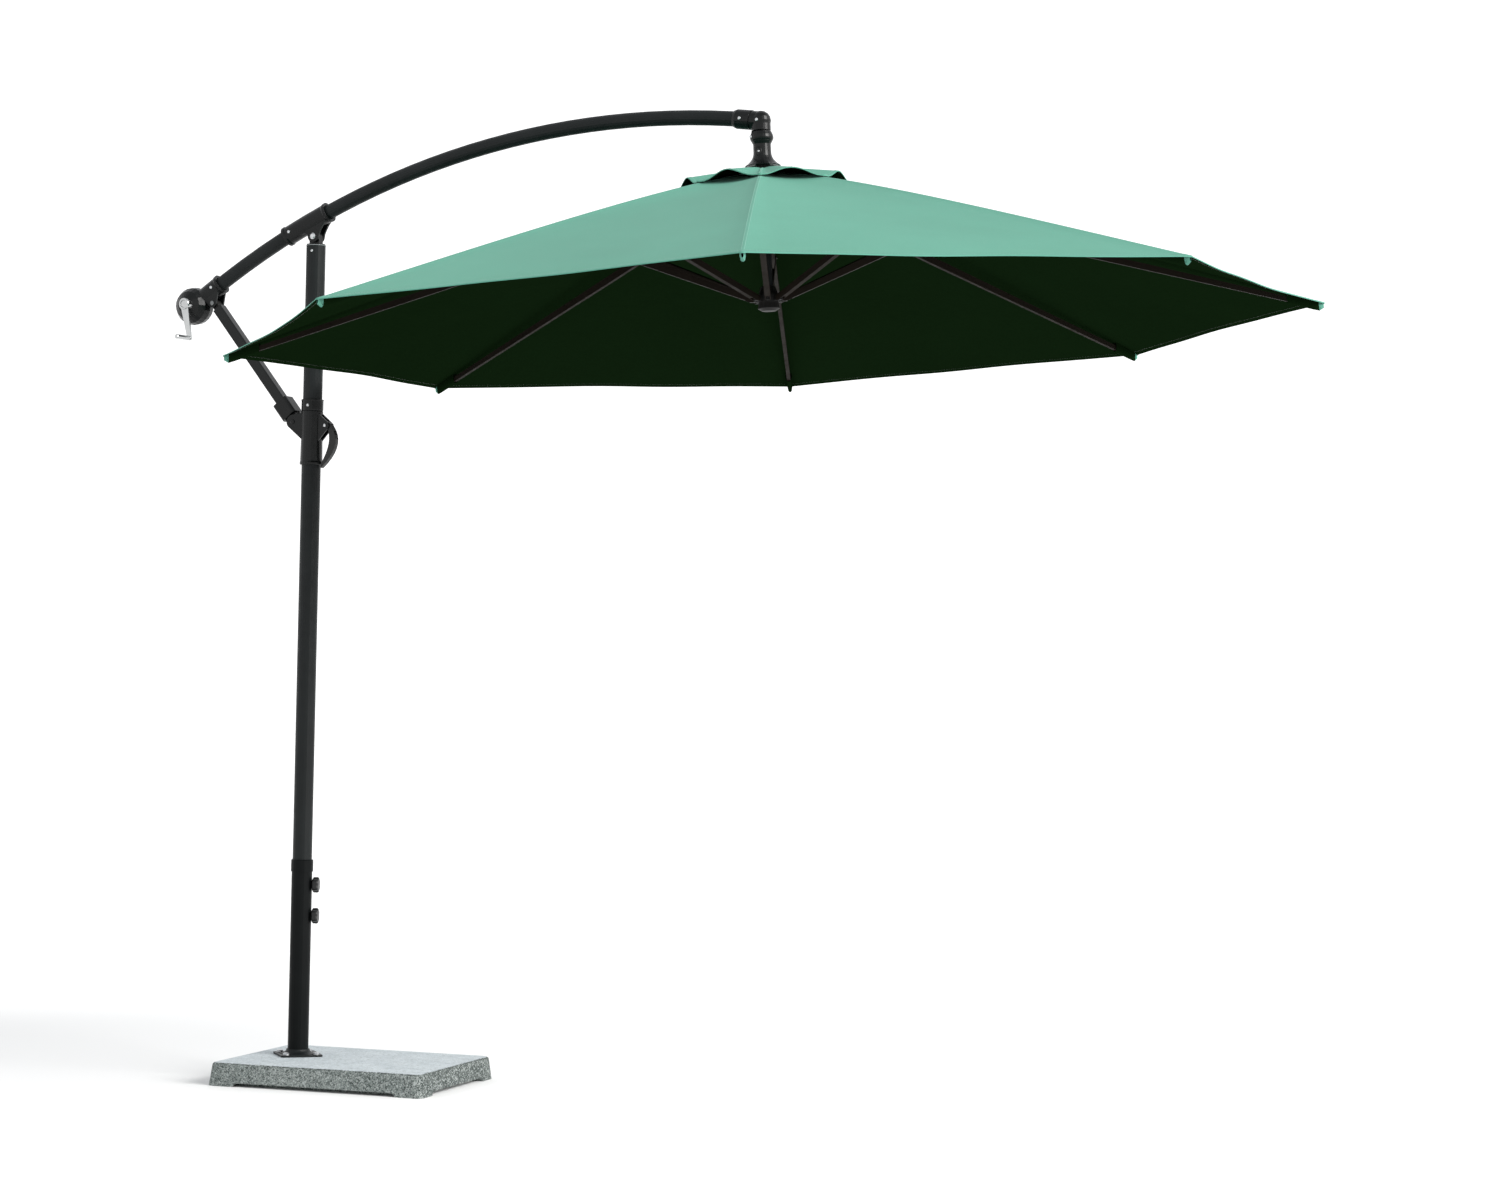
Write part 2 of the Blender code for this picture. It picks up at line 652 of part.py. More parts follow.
def boom_bracket():
    """The T-shaped clamp that carries the boom on two ears."""
    bracket = sleeve("boom_bracket", BRACKET_REAR, BRACKET_FRONT, BRACKET_RADIUS, "casting_paint")
    near, far = ear_faces()
    outline = flat_outline(ear_outline())
    for way in (1.0, -1.0):
        low, high = sorted((way * near, way * far))
        join(bracket, extruded("ear", outline, across(0.0, 0.0), low, high))
    cut(bracket, bore(across(0.0, PIVOT_HEIGHT), PIVOT_BOLT + FIT_GAP, -0.05, 0.05))
    cut(bracket, along_boom("bore", [(BOOM_RADIUS + BOOM_GAP, x) for x in stations(BRACKET_REAR - 0.01,
                                                                               BRACKET_FRONT + 0.01, 6)]))
    return bracket


def boom_screw(name, x, radius, lift=0.0):
    """A screw in the right-hand side of a sleeve, standing on its surface."""
    centre = boom_frame(x) @ Vector((lift, 0.0, 0.0))
    depth = math.sqrt(max(radius**2 - lift**2, 0.0))
    place = frame((centre.x, -depth - FIT_GAP, centre.z), -SIDE, (1.0, 0.0, 0.0))
    return screw(name, place, 0.0042, 0.0022, 0.0020, radius - BOOM_RADIUS - 0.0012)


def screw_hole(target, x, lift=0.0):
    centre = boom_frame(x) @ Vector((lift, 0.0, 0.0))
    return cut(target, bore(across(centre.x, centre.z), 0.0020 + FIT_GAP, -0.040, -BOOM_RADIUS + 0.0005))


# ---- crank housing ------------------------------------------------------------------------------------------------
def bulb_centre():
    spot = boom_frame(BULB_X).translation
    return spot.x, spot.z


def crank_centre():
    x, z = bulb_centre()
    return x + CRANK_SHIFT, z


def ball(name, place, radius, sides=ROUND, rings=8, material_name=None):
    profile = []
    for i in range(rings + 1):
        angle = math.radians(-86.0 + 172.0 * i / rings)
        profile.append((radius * math.cos(angle), radius * math.sin(angle)))
    return turned(name, place, profile, material_name, sides)


def crank_housing(name, way):
    """One half of the housing: half of the bulb, half of its sleeve and one ear for the strut's upper pin."""
    x, z = bulb_centre()
    centre = across(x, z)
    shell = ball(name, centre, BULB_RADIUS, material_name="casting_paint")
    outer = [(HOUSING_RADIUS, s) for s in stations(BULB_X + 0.010, HOUSING_MOUTH - 0.008, 4)]
    outer += [(HOUSING_RADIUS + LIP, HOUSING_MOUTH - 0.0055), (HOUSING_RADIUS + LIP, HOUSING_MOUTH)]
    join(shell, along_boom("sleeve", outer))
    ear_near = STRUT_SIDE / 2.0 + RUN_GAP
    root = boom_frame(STRUT_HEAD_X - 0.030) @ Vector((-0.012, 0.0, 0.0))
    tip = boom_frame(HOUSING_MOUTH - 0.010) @ Vector((-0.012, 0.0, 0.0))
    ear = [(STRUT_HEAD_X, STRUT_HEAD_Z, 0.0120), (root.x, root.z, 0.004), (tip.x, tip.z, 0.004)]
    low, high = sorted((way * ear_near, way * (ear_near + 0.0055)))
    join(shell, plate_xz("ear", ear, low, high))
    cut(shell, ball("hollow", centre, BULB_RADIUS - BULB_WALL))
    cut(shell, along_boom("bore", [(BOOM_RADIUS + BOOM_GAP, s) for s in stations(BULB_X + 0.015,
                                                                             HOUSING_MOUTH + 0.01, 6)]))
    if way < 0.0:
        cut(shell, bore(across(*crank_centre()), CRANK_SHAFT + RUN_GAP, -0.070, -0.020))
    cut(shell, bore(across(STRUT_HEAD_X, STRUT_HEAD_Z), STRUT_PIN + FIT_GAP, -0.05, 0.05))
    keep_from = 0.00015
    low, high = sorted((way * keep_from, way * 0.2))
    combine(shell, plate_xz("half", [(x - 0.2, z - 0.2, 0.0), (x + 0.3, z - 0.2, 0.0), (x + 0.3, z + 0.3, 0.0),
                                     (x - 0.2, z + 0.3, 0.0)], low, high), "INTERSECT")
    return shell


def cord_spool():
    x, z = crank_centre()
    inner = CRANK_SHAFT + FIT_GAP
    lip = 0.0025
    profile = [(inner, -SPOOL_HALF), (SPOOL_FLANGE, -SPOOL_HALF), (SPOOL_FLANGE, -SPOOL_HALF + lip),
               (SPOOL_DRUM, -SPOOL_HALF + lip), (SPOOL_DRUM, SPOOL_HALF - lip), (SPOOL_FLANGE, SPOOL_HALF - lip),
               (SPOOL_FLANGE, SPOOL_HALF), (inner, SPOOL_HALF)]
    return turned("cord_spool", across(x, z), profile, "hub_plastic", sides=24, closed=True)


def crank_end():
    """Where the hanging crank arm carries its grip, as x and z."""
    x, z = crank_centre()
    return x + CRANK_LEAN, z - math.sqrt(CRANK_LENGTH**2 - CRANK_LEAN**2)


def crank_arm():
    x, z = crank_centre()
    end_x, end_z = crank_end()
    outer = -CRANK_HUB_OUT
    inner = outer + CRANK_THICKNESS
    arm = plate_xz("crank_arm", [(x, z, CRANK_HUB * 0.74), (end_x, end_z, 0.0058)], outer + 0.0015, inner, "chrome")
    hub = [(CRANK_SHAFT, 0.030), (CRANK_SHAFT, -BULB_RADIUS - 0.0008), (CRANK_HUB * 0.92, -BULB_RADIUS - 0.002),
           (CRANK_HUB, inner - 0.003), (CRANK_HUB, outer + 0.001), (CRANK_HUB * 0.90, outer - 0.001),
           (CRANK_HUB * 0.66, outer - 0.001), (CRANK_HUB * 0.56, outer + 0.002)]
    stub = bore(across(end_x, end_z), 0.0030, outer - GRIP_LENGTH + 0.004, inner - CRANK_THICKNESS / 3.0)
    return join(arm, stub, turned("hub", across(x, z), hub, sides=24, phase=0.37))


def crank_grip():
    end_x, end_z = crank_end()
    start = -CRANK_HUB_OUT + 0.0015 - RUN_GAP
    stop = start - GRIP_LENGTH
    hole = 0.0030 + FIT_GAP
    bottom = stop + 0.003
    profile = [(hole, bottom), (hole, start), (GRIP_RADIUS * 0.85, start), (GRIP_RADIUS, start - 0.002),
               (GRIP_RADIUS, stop + 0.002), (GRIP_RADIUS * 0.8, stop), (GRIP_RADIUS * 0.3, stop)]
    return turned("crank_grip", across(end_x, end_z), profile, "chrome", sides=SMALL_ROUND)


# ---- strut --------------------------------------------------------------------------------------------------------
def strut_length():
    return math.hypot(STRUT_HEAD_X - STRUT_FOOT_X, STRUT_HEAD_Z - STRUT_FOOT_Z)


def strut_tube():
    place = strut_frame()
    half = STRUT_SIDE / 2.0
    start, stop = SOCKET_START + 0.004, strut_length() - 0.0165
    outer = extruded("strut_tube", rounded_rectangle(half, half, 0.003, 2), place, start, stop, "frame_paint")
    inner = half - STRUT_WALL
    return cut(outer, extruded("hollow", rounded_rectangle(inner, inner, 0.002, 2), place, start - 0.01, stop + 0.01))


def strut_head():
    """The plug in the strut's top with the eye for its upper pin."""
    place = strut_frame()
    half = STRUT_SIDE / 2.0 - STRUT_WALL - FIT_GAP
    top = strut_length()
    head = extruded("strut_head", rounded_rectangle(half, half, 0.002, 2), place, top - 0.045, top - 0.0165,
                    "hub_plastic")
    side = frame(place.translation, place.to_3x3() @ SIDE, place.to_3x3() @ Vector((0.0, 0.0, 1.0)))
    outline = hull([(top, 0.0, 0.0088), (top - 0.020, half * 0.72, 0.0), (top - 0.020, -half * 0.72, 0.0)])
    join(head, extruded("eye", outline, side, -half, half))
    return cut(head, bore(across(STRUT_HEAD_X, STRUT_HEAD_Z), STRUT_PIN + FIT_GAP, -0.03, 0.03))


def strut_socket():
    """The casting over the strut's lower end, with a roomy eye for the foot pin."""
    place = strut_frame()
    half = SOCKET_SIDE / 2.0
    socket = extruded("strut_socket", rounded_rectangle(half, half, 0.008, 4), place, SOCKET_START - 0.003,
                      SOCKET_MOUTH, "casting_paint")
    hole = STRUT_SIDE / 2.0 + FIT_GAP
    cut(socket, extruded("bore", rounded_rectangle(hole, hole, 0.003, 2), place, SOCKET_START + 0.0037,
                         SOCKET_MOUTH + 0.01))
    side = frame(place.translation, place.to_3x3() @ SIDE, place.to_3x3() @ Vector((0.0, 0.0, 1.0)))
    outline = hull([(0.0, 0.0, 0.0158), (SOCKET_START, half * 0.75, 0.0), (SOCKET_START, -half * 0.75, 0.0)])
    join(socket, extruded("tongue", outline, side, -FOOT_TONGUE, FOOT_TONGUE))
    return cut(socket, bore(place @ frame((0, 0, 0), SIDE, (1.0, 0.0, 0.0)), STRUT_SLOT, -0.03, 0.03, 24))


# ---- slider -------------------------------------------------------------------------------------------------------
def slider_body():
    """The sliding grip: a sleeve on the mast, ears for the strut's foot behind it and lugs for the lever in front."""
    inner = MAST_RADIUS + RUN_GAP
    low, high = SLIDER_BOTTOM, SLIDER_TOP
    sleeve_body = turned("slider_body", Matrix.Identity(4), [
        (0.0285, low), (0.0302, low + 0.002), (0.0302, low + 0.006), (SLIDER_RADIUS, low + 0.010),
        (SLIDER_RADIUS - 0.0008, (low + high) / 2.0), (SLIDER_RADIUS - 0.0005, high - 0.001),
        (SLIDER_RADIUS - 0.0015, high)], "casting_paint")
    foot = (STRUT_FOOT_X, STRUT_FOOT_Z, FOOT_EYE)
    for way in (1.0, -1.0):
        low_y, high_y = sorted((way * (FOOT_TONGUE + RUN_GAP), way * (FOOT_TONGUE + RUN_GAP + FOOT_EAR)))
        join(sleeve_body, plate_xz("foot_ear", [foot, (0.014 - SLIDER_RADIUS, STRUT_FOOT_Z + 0.020, 0.003),
                                                (0.014 - SLIDER_RADIUS, STRUT_FOOT_Z - 0.045, 0.003)], low_y, high_y))
        low_y, high_y = sorted((way * (LEVER_HALF + RUN_GAP), way * (LEVER_HALF + RUN_GAP + LUG_THICKNESS)))
        join(sleeve_body, plate_xz("lever_lug", [(LEVER_PIN_X, LEVER_PIN_Z, LUG_EYE),
                                                 (SLIDER_RADIUS - 0.011, high - 0.004, 0.003),
                                                 (SLIDER_RADIUS - 0.011, LEVER_PIN_Z - 0.045, 0.003)], low_y, high_y))
    cut(sleeve_body, bore(Matrix.Identity(4), inner, low - 0.01, high + 0.01, ROUND))
    cut(sleeve_body, bore(across(STRUT_FOOT_X, STRUT_FOOT_Z), STRUT_PIN + FIT_GAP, -0.04, 0.04))
    return cut(sleeve_body, bore(across(LEVER_PIN_X, LEVER_PIN_Z), 0.003 + FIT_GAP, -0.04, 0.04))


def slider_collar():
    inner = MAST_RADIUS + RUN_GAP
    low, high = SLIDER_TOP + FIT_GAP, SLIDER_COLLAR_TOP
    profile = [(inner, low), (SLIDER_RADIUS - 0.0012, low), (SLIDER_RADIUS - 0.0004, low + 0.003),
               (SLIDER_RADIUS - 0.0004, high - 0.004), (SLIDER_RADIUS + 0.0008, high - 0.002),
               (SLIDER_RADIUS - 0.0004, high), (inner, high)]
    collar = turned("slider_collar", Matrix.Identity(4), profile, "casting_paint", closed=True)
    spot = facing(COLLAR_SCREW_AZIMUTH, 0.0, SLIDER_TOP + 0.014)
    return cut(collar, bore(spot, 0.0020 + FIT_GAP, MAST_RADIUS - 0.003, 0.05))


def collar_screw():
    spot = facing(COLLAR_SCREW_AZIMUTH, SLIDER_RADIUS - 0.0004 + FIT_GAP, SLIDER_TOP + 0.014)
    return screw("collar_screw", spot, 0.0038, 0.0022, 0.0020, 0.0024)


def bend(start, pull, end, steps):
    """Points of a quadratic curve from start to end, pulled towards a third point."""
    points = []
    for i in range(steps + 1):
        t = i / steps
        weights = ((1.0 - t) ** 2, 2.0 * t * (1.0 - t), t * t)
        points.append(tuple(sum(w * p[k] for w, p in zip(weights, (start, pull, end))) for k in (0, 1)))
    return points


def lock_lever():
    """The crescent lever under the hand, hung on the slider's lugs and bowed clear of the sleeve."""
    foot = SLIDER_RADIUS + 0.0045
    outer = bend((LEVER_PIN_X + 0.0080, LEVER_PIN_Z + 0.0100), (LEVER_PIN_X + 0.0640, LEVER_PIN_Z - 0.045),
                 (foot, SLIDER_BOTTOM - 0.008), 10)
    inner = bend((foot, SLIDER_BOTTOM + 0.003), (LEVER_PIN_X + 0.0240, LEVER_PIN_Z - 0.043),
                 (LEVER_PIN_X + 0.0060, LEVER_PIN_Z - 0.008), 8)
    lever = extruded("lock_lever", flat_outline(outer + inner), across(0.0, 0.0), -LEVER_HALF, LEVER_HALF,
                     "black_plastic")
    join(lever, plate_xz("eye", [(LEVER_PIN_X, LEVER_PIN_Z, 0.0085), (LEVER_PIN_X + 0.0100, LEVER_PIN_Z, 0.007)],
                         -LEVER_HALF + 0.0002, LEVER_HALF - 0.0002))
    return cut(lever, bore(across(LEVER_PIN_X, LEVER_PIN_Z), 0.003 + FIT_GAP, -0.04, 0.04))


# ---- boom end and knuckle -----------------------------------------------------------------------------------------
def corner():
    """Where the boom's end meets the canopy's axis, as a height h on that axis."""
    place = canopy_frame()
    tip = boom_frame(END_SLEEVE_FRONT)
    direction = tip.to_3x3().col[2]
    axis = place.to_3x3().col[2]
    offset = place.translation - tip.translation
    determinant = direction.x * -axis.z + direction.z * axis.x
    along = (offset.x * -axis.z + offset.z * axis.x) / determinant
    spot = tip.translation + direction * along
    return (spot - place.translation).dot(axis)


def canopy_across(u, h):
    """A frame at (u, h) of the canopy's own frame, Z along +Y."""
    return canopy_frame() @ across(u, h)


def boom_elbow():
    """The casting that turns the boom's end down to the knuckle."""
    place = canopy_frame()
    top = corner()
    bottom = CUP_TOP + KNUCKLE_GAP
    elbow = ball("boom_elbow", place @ Matrix.Translation((0.0, 0.0, top)), ELBOW_CORNER, rings=8,
                 material_name="casting_paint")
    join(elbow, turned("leg", place, [(ELBOW_RADIUS - 0.001, bottom), (ELBOW_RADIUS, bottom + 0.001),
                                      (ELBOW_RADIUS, top - 0.002)], phase=0.37))
    tip = boom_frame(END_SLEEVE_FRONT)
    spigot = BOOM_RADIUS - BOOM_WALL - SPIGOT_GAP
    length = (place @ Vector((0.0, 0.0, top)) - tip.translation).length
    neck = ELBOW_RADIUS - 0.0004
    join(elbow, turned("neck", tip, [(neck - 0.001, FIT_GAP), (neck, 0.001), (neck, length * 0.97)], sides=28,
                       phase=0.5))
    join(elbow, along_boom("spigot", [(spigot, x) for x in stations(END_SLEEVE_REAR + 0.005,
                                                                     END_SLEEVE_FRONT + 0.006, 5)]))
    tongue = flat_outline(hull([(KNUCKLE_U, KNUCKLE_H, 0.0085), (KNUCKLE_U - 0.004, bottom + 0.004, 0.0),
                                (KNUCKLE_U + 0.018, bottom + 0.004, 0.0)]))
    join(elbow, extruded("tongue", tongue, place @ across(0.0, 0.0), -KNUCKLE_TONGUE, KNUCKLE_TONGUE))
    cut(elbow, bore(canopy_across(0.0, top), PULLEY_RADIUS + 0.0020, -PULLEY_HALF - 0.0012, PULLEY_HALF + 0.0012, 24))
    cut(elbow, bore(place @ Matrix.Translation((0.008, 0.0, 0.0)), 0.0070, bottom - 0.02, top))
    cut(elbow, along_boom("cord_way", [(0.0090, x) for x in stations(END_SLEEVE_REAR - 0.005,
                                                                     END_SLEEVE_FRONT + 0.008, 5)], sides=16))
    cut(elbow, bore(canopy_across(0.0, top), 0.0025 + FIT_GAP, -0.04, 0.04))
    return cut(elbow, bore(canopy_across(KNUCKLE_U, KNUCKLE_H), 0.0035 + FIT_GAP, -0.03, 0.03))


def canopy_pin(name, u, h, half, radius, head_radius, head_height):
    """A pin across the canopy's frame with a head at each end."""
    pin = cross_pin(name, 0.0, 0.0, half, radius, head_radius, head_height)
    pin.data.transform(canopy_across(u, h) @ across(0.0, 0.0).inverted())
    return pin


def cord_pulley():
    rim, groove, hole = PULLEY_RADIUS, PULLEY_RADIUS - 0.0035, 0.0025 + FIT_GAP
    profile = [(hole, -PULLEY_HALF), (rim, -PULLEY_HALF), (rim, -PULLEY_HALF + 0.0012), (groove, 0.0),
               (rim, PULLEY_HALF - 0.0012), (rim, PULLEY_HALF), (hole, PULLEY_HALF)]
    return turned("cord_pulley", canopy_across(0.0, corner()), profile, "hub_plastic", sides=24, closed=True)


def canopy_neck():
    """The cup, neck and bell over the canopy, hollow for the cord and the runner's tube."""
    place = canopy_frame()
    seat = HUB_STEM + FIT_GAP
    outer = [(BELL_RADIUS - 0.0010, BELL_BOTTOM), (BELL_RADIUS, BELL_BOTTOM + 0.0012)]
    for i in range(1, 9):
        rise = (i / 8.0) ** 1.4
        outer.append((NECK_RADIUS + (BELL_RADIUS - NECK_RADIUS) * (1.0 - rise) ** 2.4,
                      BELL_BOTTOM + 0.0012 + (NECK_BOTTOM - BELL_BOTTOM - 0.0012) * rise))
    outer += [(NECK_RADIUS, NECK_TOP), (CUP_RADIUS - 0.0012, NECK_TOP + 0.0115), (CUP_RADIUS, NECK_TOP + 0.0155),
              (CUP_RADIUS - 0.0010, CUP_TOP - 0.0085), (ELBOW_RADIUS + 0.0012, CUP_TOP)]
    inner = [(ELBOW_RADIUS - 0.0020, CUP_TOP), (CUP_RADIUS - CUP_WALL, NECK_TOP + 0.0155),
             (CUP_RADIUS - CUP_WALL, NECK_TOP + 0.0080), (RUNNER_TUBE + 0.004, NECK_TOP + 0.0030),
             (RUNNER_TUBE + 0.004, NECK_STOP), (seat, NECK_STOP), (seat, BELL_BOTTOM + 0.006),
             (BELL_RADIUS - 0.0060, BELL_BOTTOM)]
    neck = turned("canopy_neck", place, outer + inner, "casting_paint", closed=True)
    half = KNUCKLE_TONGUE + RUN_GAP
    slot = flat_outline([(-0.040, CUP_TOP - 0.026), (KNUCKLE_U + 0.012, CUP_TOP - 0.026),
                         (KNUCKLE_U + 0.023, CUP_TOP + 0.01), (-0.040, CUP_TOP + 0.01)])
    cut(neck, extruded("slot", slot, place @ across(0.0, 0.0), -half, half))
    return cut(neck, bore(canopy_across(KNUCKLE_U, KNUCKLE_H), 0.0035 + FIT_GAP, -0.05, 0.05))


# ---- canopy -------------------------------------------------------------------------------------------------------
def rib_slope():
    return math.atan(RIDGE_H / (TIP_RADIUS - RIB_HINGE_RADIUS))


def rib_hinge_h():
    return RIDGE_H - RIB_DROP


def rib_reach():
    """Distance along the rib from its hinge to the stretcher's rivet."""
    return (STRETCHER_REACH - RIB_HINGE_RADIUS) / math.cos(rib_slope())


def rib_azimuth(number):
    return 2.0 * math.pi * (number + 0.5) / RIBS


def rivet_h():
    return rib_hinge_h() - rib_reach() * math.sin(rib_slope())


def stretcher_length():
    return math.hypot(STRETCHER_REACH - STRETCHER_HINGE_RADIUS, rivet_h() - STRETCHER_HINGE_H)


def stretcher_slope():
    return math.atan2(rivet_h() - STRETCHER_HINGE_H, STRETCHER_REACH - STRETCHER_HINGE_RADIUS)


def gear_outline(core, tip, half, teeth_out):
    """A round core with eight radial teeth (teeth_out) or a round plate with eight radial slots."""
    step = 2.0 * math.pi / RIBS
    core_angle, tip_angle = math.asin(half / core), math.asin(half / tip)
    spots = []
    for i in range(RIBS):
        mid = rib_azimuth(i)
        if teeth_out:
            spots += [(core, mid - core_angle), (tip, mid - tip_angle), (tip, mid + tip_angle), (core, mid + core_angle)]
            spots += [(core, mid + core_angle + (step - 2.0 * core_angle) * k / 3.0) for k in (1, 2)]
        else:
            spots += [(tip, mid - tip_angle), (core, mid - core_angle), (core, mid + core_angle), (tip, mid + tip_angle)]
            spots += [(tip, mid + tip_angle + (step - 2.0 * tip_angle) * k / 4.0) for k in (1, 2, 3)]
    return [(radius * math.cos(angle), radius * math.sin(angle)) for radius, angle in spots]


def top_hub():
    """The crown that the ribs hinge on, with a stem up into the neck."""
    place = canopy_frame()
    hub = extruded("top_hub", gear_outline(HUB_CORE, HUB_RADIUS, RIB_WIDTH / 2.0 + RUN_GAP, False), place,
                   HUB_BOTTOM_H, HUB_TOP_H, "hub_plastic")
    join(hub, turned("stem", place, [(HUB_STEM, HUB_TOP_H - 0.010), (HUB_STEM, NECK_STOP - FIT_GAP)], sides=24))
    return cut(hub, bore(place, RUNNER_TUBE + RUN_GAP, HUB_BOTTOM_H - 0.01, NECK_STOP + 0.01, 24))


def runner_hub():
    """The lower hub that the stretchers hinge on."""
    place = canopy_frame()
    middle = STRETCHER_HINGE_H
    profile = [(RUNNER_CORE - 0.008, RUNNER_BOTTOM_H), (RUNNER_CORE + 0.002, RUNNER_BOTTOM_H + 0.006),
               (RUNNER_CORE, middle - 0.010), (RUNNER_CORE, middle + 0.010), (RUNNER_TUBE + 0.006, RUNNER_TOP_H)]
    hub = turned("runner_hub", place, profile, "hub_plastic")
    join(hub, extruded("teeth", gear_outline(RUNNER_CORE - 0.002, STRETCHER_HINGE_RADIUS + 0.0065, 0.0040, True),
                       place, middle - 0.0068, middle + 0.0068))
    return cut(hub, bore(place, RUNNER_TUBE + FIT_GAP, RUNNER_BOTTOM_H + 0.004, RUNNER_TOP_H + 0.01, 24))


def runner_tube():
    """The tube on the runner that telescopes into the crown and keeps it straight."""
    return tube("runner_tube", canopy_frame(), RUNNER_TUBE - 0.0015, RUNNER_TUBE, RUNNER_BOTTOM_H + 0.0045,
                NECK_STOP - 0.030, "frame_paint", sides=24)


def rib_frame(number):
    """A rib's own frame: origin on its hinge, X along the rib, Y across it."""
    turn = Matrix.Rotation(rib_azimuth(number), 4, "Z")
    hinge = Matrix.Translation((RIB_HINGE_RADIUS, 0.0, rib_hinge_h()))
    return canopy_frame() @ turn @ hinge @ Matrix.Rotation(rib_slope(), 4, "Y")


def stretcher_frame(number):
    turn = Matrix.Rotation(rib_azimuth(number), 4, "Z")
    hinge = Matrix.Translation((STRETCHER_HINGE_RADIUS, 0.0, STRETCHER_HINGE_H))
    return canopy_frame() @ turn @ hinge @ Matrix.Rotation(-stretcher_slope(), 4, "Y")


def rib_mesh():
    """One rib in its own frame: a flat tube, open at the tip, with a straight top and a tapered outer half."""
    length = (TIP_RADIUS - RIB_TIP_SPARE - RIB_HINGE_RADIUS) / math.cos(rib_slope())
    top = RIB_DEPTH / 2.0
    eye = 0.0085
    outline = [(length, top), (0.020, top)]
    for i in range(7):
        angle = math.radians(75.0 + 210.0 * i / 6.0)
        outline.append((eye * math.cos(angle), eye * math.sin(angle)))
    outline += [(0.020, -top), (rib_reach() + 0.12, -top), (length, top - RIB_TIP_DEPTH)]
    half = RIB_WIDTH / 2.0
    bar = extruded("rib_master", flat_outline(outline), across(0.0, 0.0), -half, half, "rib_paint")
    bend_x, low, high = rib_reach() + 0.12, -top + RIB_WALL, top - RIB_WALL
    tip_low = top - RIB_TIP_DEPTH + RIB_WALL
    hollow = [(0.030, high), (0.030, low), (bend_x, low), (length, tip_low), (length + 0.05, tip_low),
              (length + 0.05, high)]
    cut(bar, extruded("hollow", flat_outline(hollow), across(0.0, 0.0), -half + RIB_WALL, half - RIB_WALL))
    mesh = bar.data
    bpy.data.objects.remove(bar)
    return mesh


def stretcher_mesh():
    """One stretcher in its own frame: a channel open to the rib, with a fork that straddles it."""
    length = stretcher_length()
    depth = STRETCHER_DEPTH / 2.0
    half = RIB_WIDTH / 2.0 + RUN_GAP + STRETCHER_CHEEK
    outline = hull([(0.0, 0.0, depth), (length, 0.0, depth)], sides=20)
    bar = extruded("stretcher_master", flat_outline(outline), across(0.0, 0.0), -half, half, "rib_paint")
    inside = half - STRETCHER_CHEEK
    web = [(0.016, 0.05), (0.016, -depth + 0.0015), (length - STRETCHER_FORK, -depth + 0.0015),
           (length - STRETCHER_FORK, 0.05)]
    cut(bar, extruded("channel", flat_outline(web), across(0.0, 0.0), -inside, inside))
    for start, stop in ((-0.05, 0.016), (length - STRETCHER_FORK, length + 0.05)):
        ends = [(start, 0.05), (start, -0.05), (stop, -0.05), (stop, 0.05)]
        cut(bar, extruded("fork", flat_outline(ends), across(0.0, 0.0), -inside, inside))
    mesh = bar.data
    bpy.data.objects.remove(bar)
    return mesh


def spread(base, mesh, frames):
    """Eight copies of one mesh, each with its own place."""
    pieces = []
    for number in range(RIBS):
        piece = bpy.data.objects.new(f"{base}_{number + 1}", mesh)
        bpy.context.scene.collection.objects.link(piece)
        piece.matrix_world = frames(number)
        pieces.append(piece)
    return pieces


def ridge_h(radius):
    """Height of the fabric's ridge over the tip plane: a straight slope with an arch on it, fullest near the hub."""
    reach = min(radius / TIP_RADIUS, 1.0)
    return (TIP_RADIUS - radius) * math.tan(rib_slope()) + RIDGE_BOW * math.sin(math.pi * reach**0.6)


def panel_point(radius, share):
    """A point of the cover: radius at the rib, share 0 on one rib to 1 on the next, as (distance, height)."""
    half_step = math.pi / RIBS
    angle = (share - 0.5) * 2.0 * half_step
    chord = radius * math.cos(half_step) / math.cos(angle)
    bow = 4.0 * share * (1.0 - share)
    reach = min(radius / TIP_RADIUS, 1.0)
    dip = PANEL_DIP * bow * math.sin(math.pi * reach**0.8)
    return chord - HEM_SCALLOP * bow * reach**6, ridge_h(radius) - dip


def sheet_shell(name, radii, columns, point, thickness, material_name):
    """A closed shell of the canopy: its upper surface from point(radius, share), its lower one straight below."""
    place = canopy_frame()
    rings = []
    for radius in radii:
        ring = []
        for panel in range(RIBS):
            for column in range(columns):
                share = column / columns
                distance, height = point(radius, share)
                angle = rib_azimuth(panel) + share * 2.0 * math.pi / RIBS
                ring.append(Vector((distance * math.cos(angle), distance * math.sin(angle), height)))
        rings.append(ring)
    lower = [[p - UP * thickness for p in ring] for ring in reversed(rings)]
    return loft(name, [[place @ p for p in ring] for ring in rings + lower], material_name, closed=True)


def canopy_cover():
    steps = 9
    radii = [COVER_HOLE + (TIP_RADIUS - COVER_HOLE) * i / steps for i in range(steps + 1)]
    return sheet_shell("canopy_cover", radii, 4, panel_point, COVER_THICKNESS, "canopy_fabric")


def vent_point(radius, share):
    """A point of the vent flap: down on the cover at the ribs, lifted between them."""
    distance, height = panel_point(radius, share)
    wave = math.sin(math.pi * share) ** 2
    rise = VENT_GAP + COVER_THICKNESS + VENT_LIFT * wave * min(radius / VENT_RADIUS, 1.0)
    middle = max(0.0, 1.0 - radius / VENT_RADIUS)
    return distance, height + rise + VENT_PEAK * middle


def vent_flap():
    steps = 4
    radii = [VENT_HOLE + (VENT_RADIUS - VENT_HOLE) * i / steps for i in range(steps + 1)]
    return sheet_shell("vent_flap", radii, 4, vent_point, COVER_THICKNESS / 2.0, "canopy_fabric")


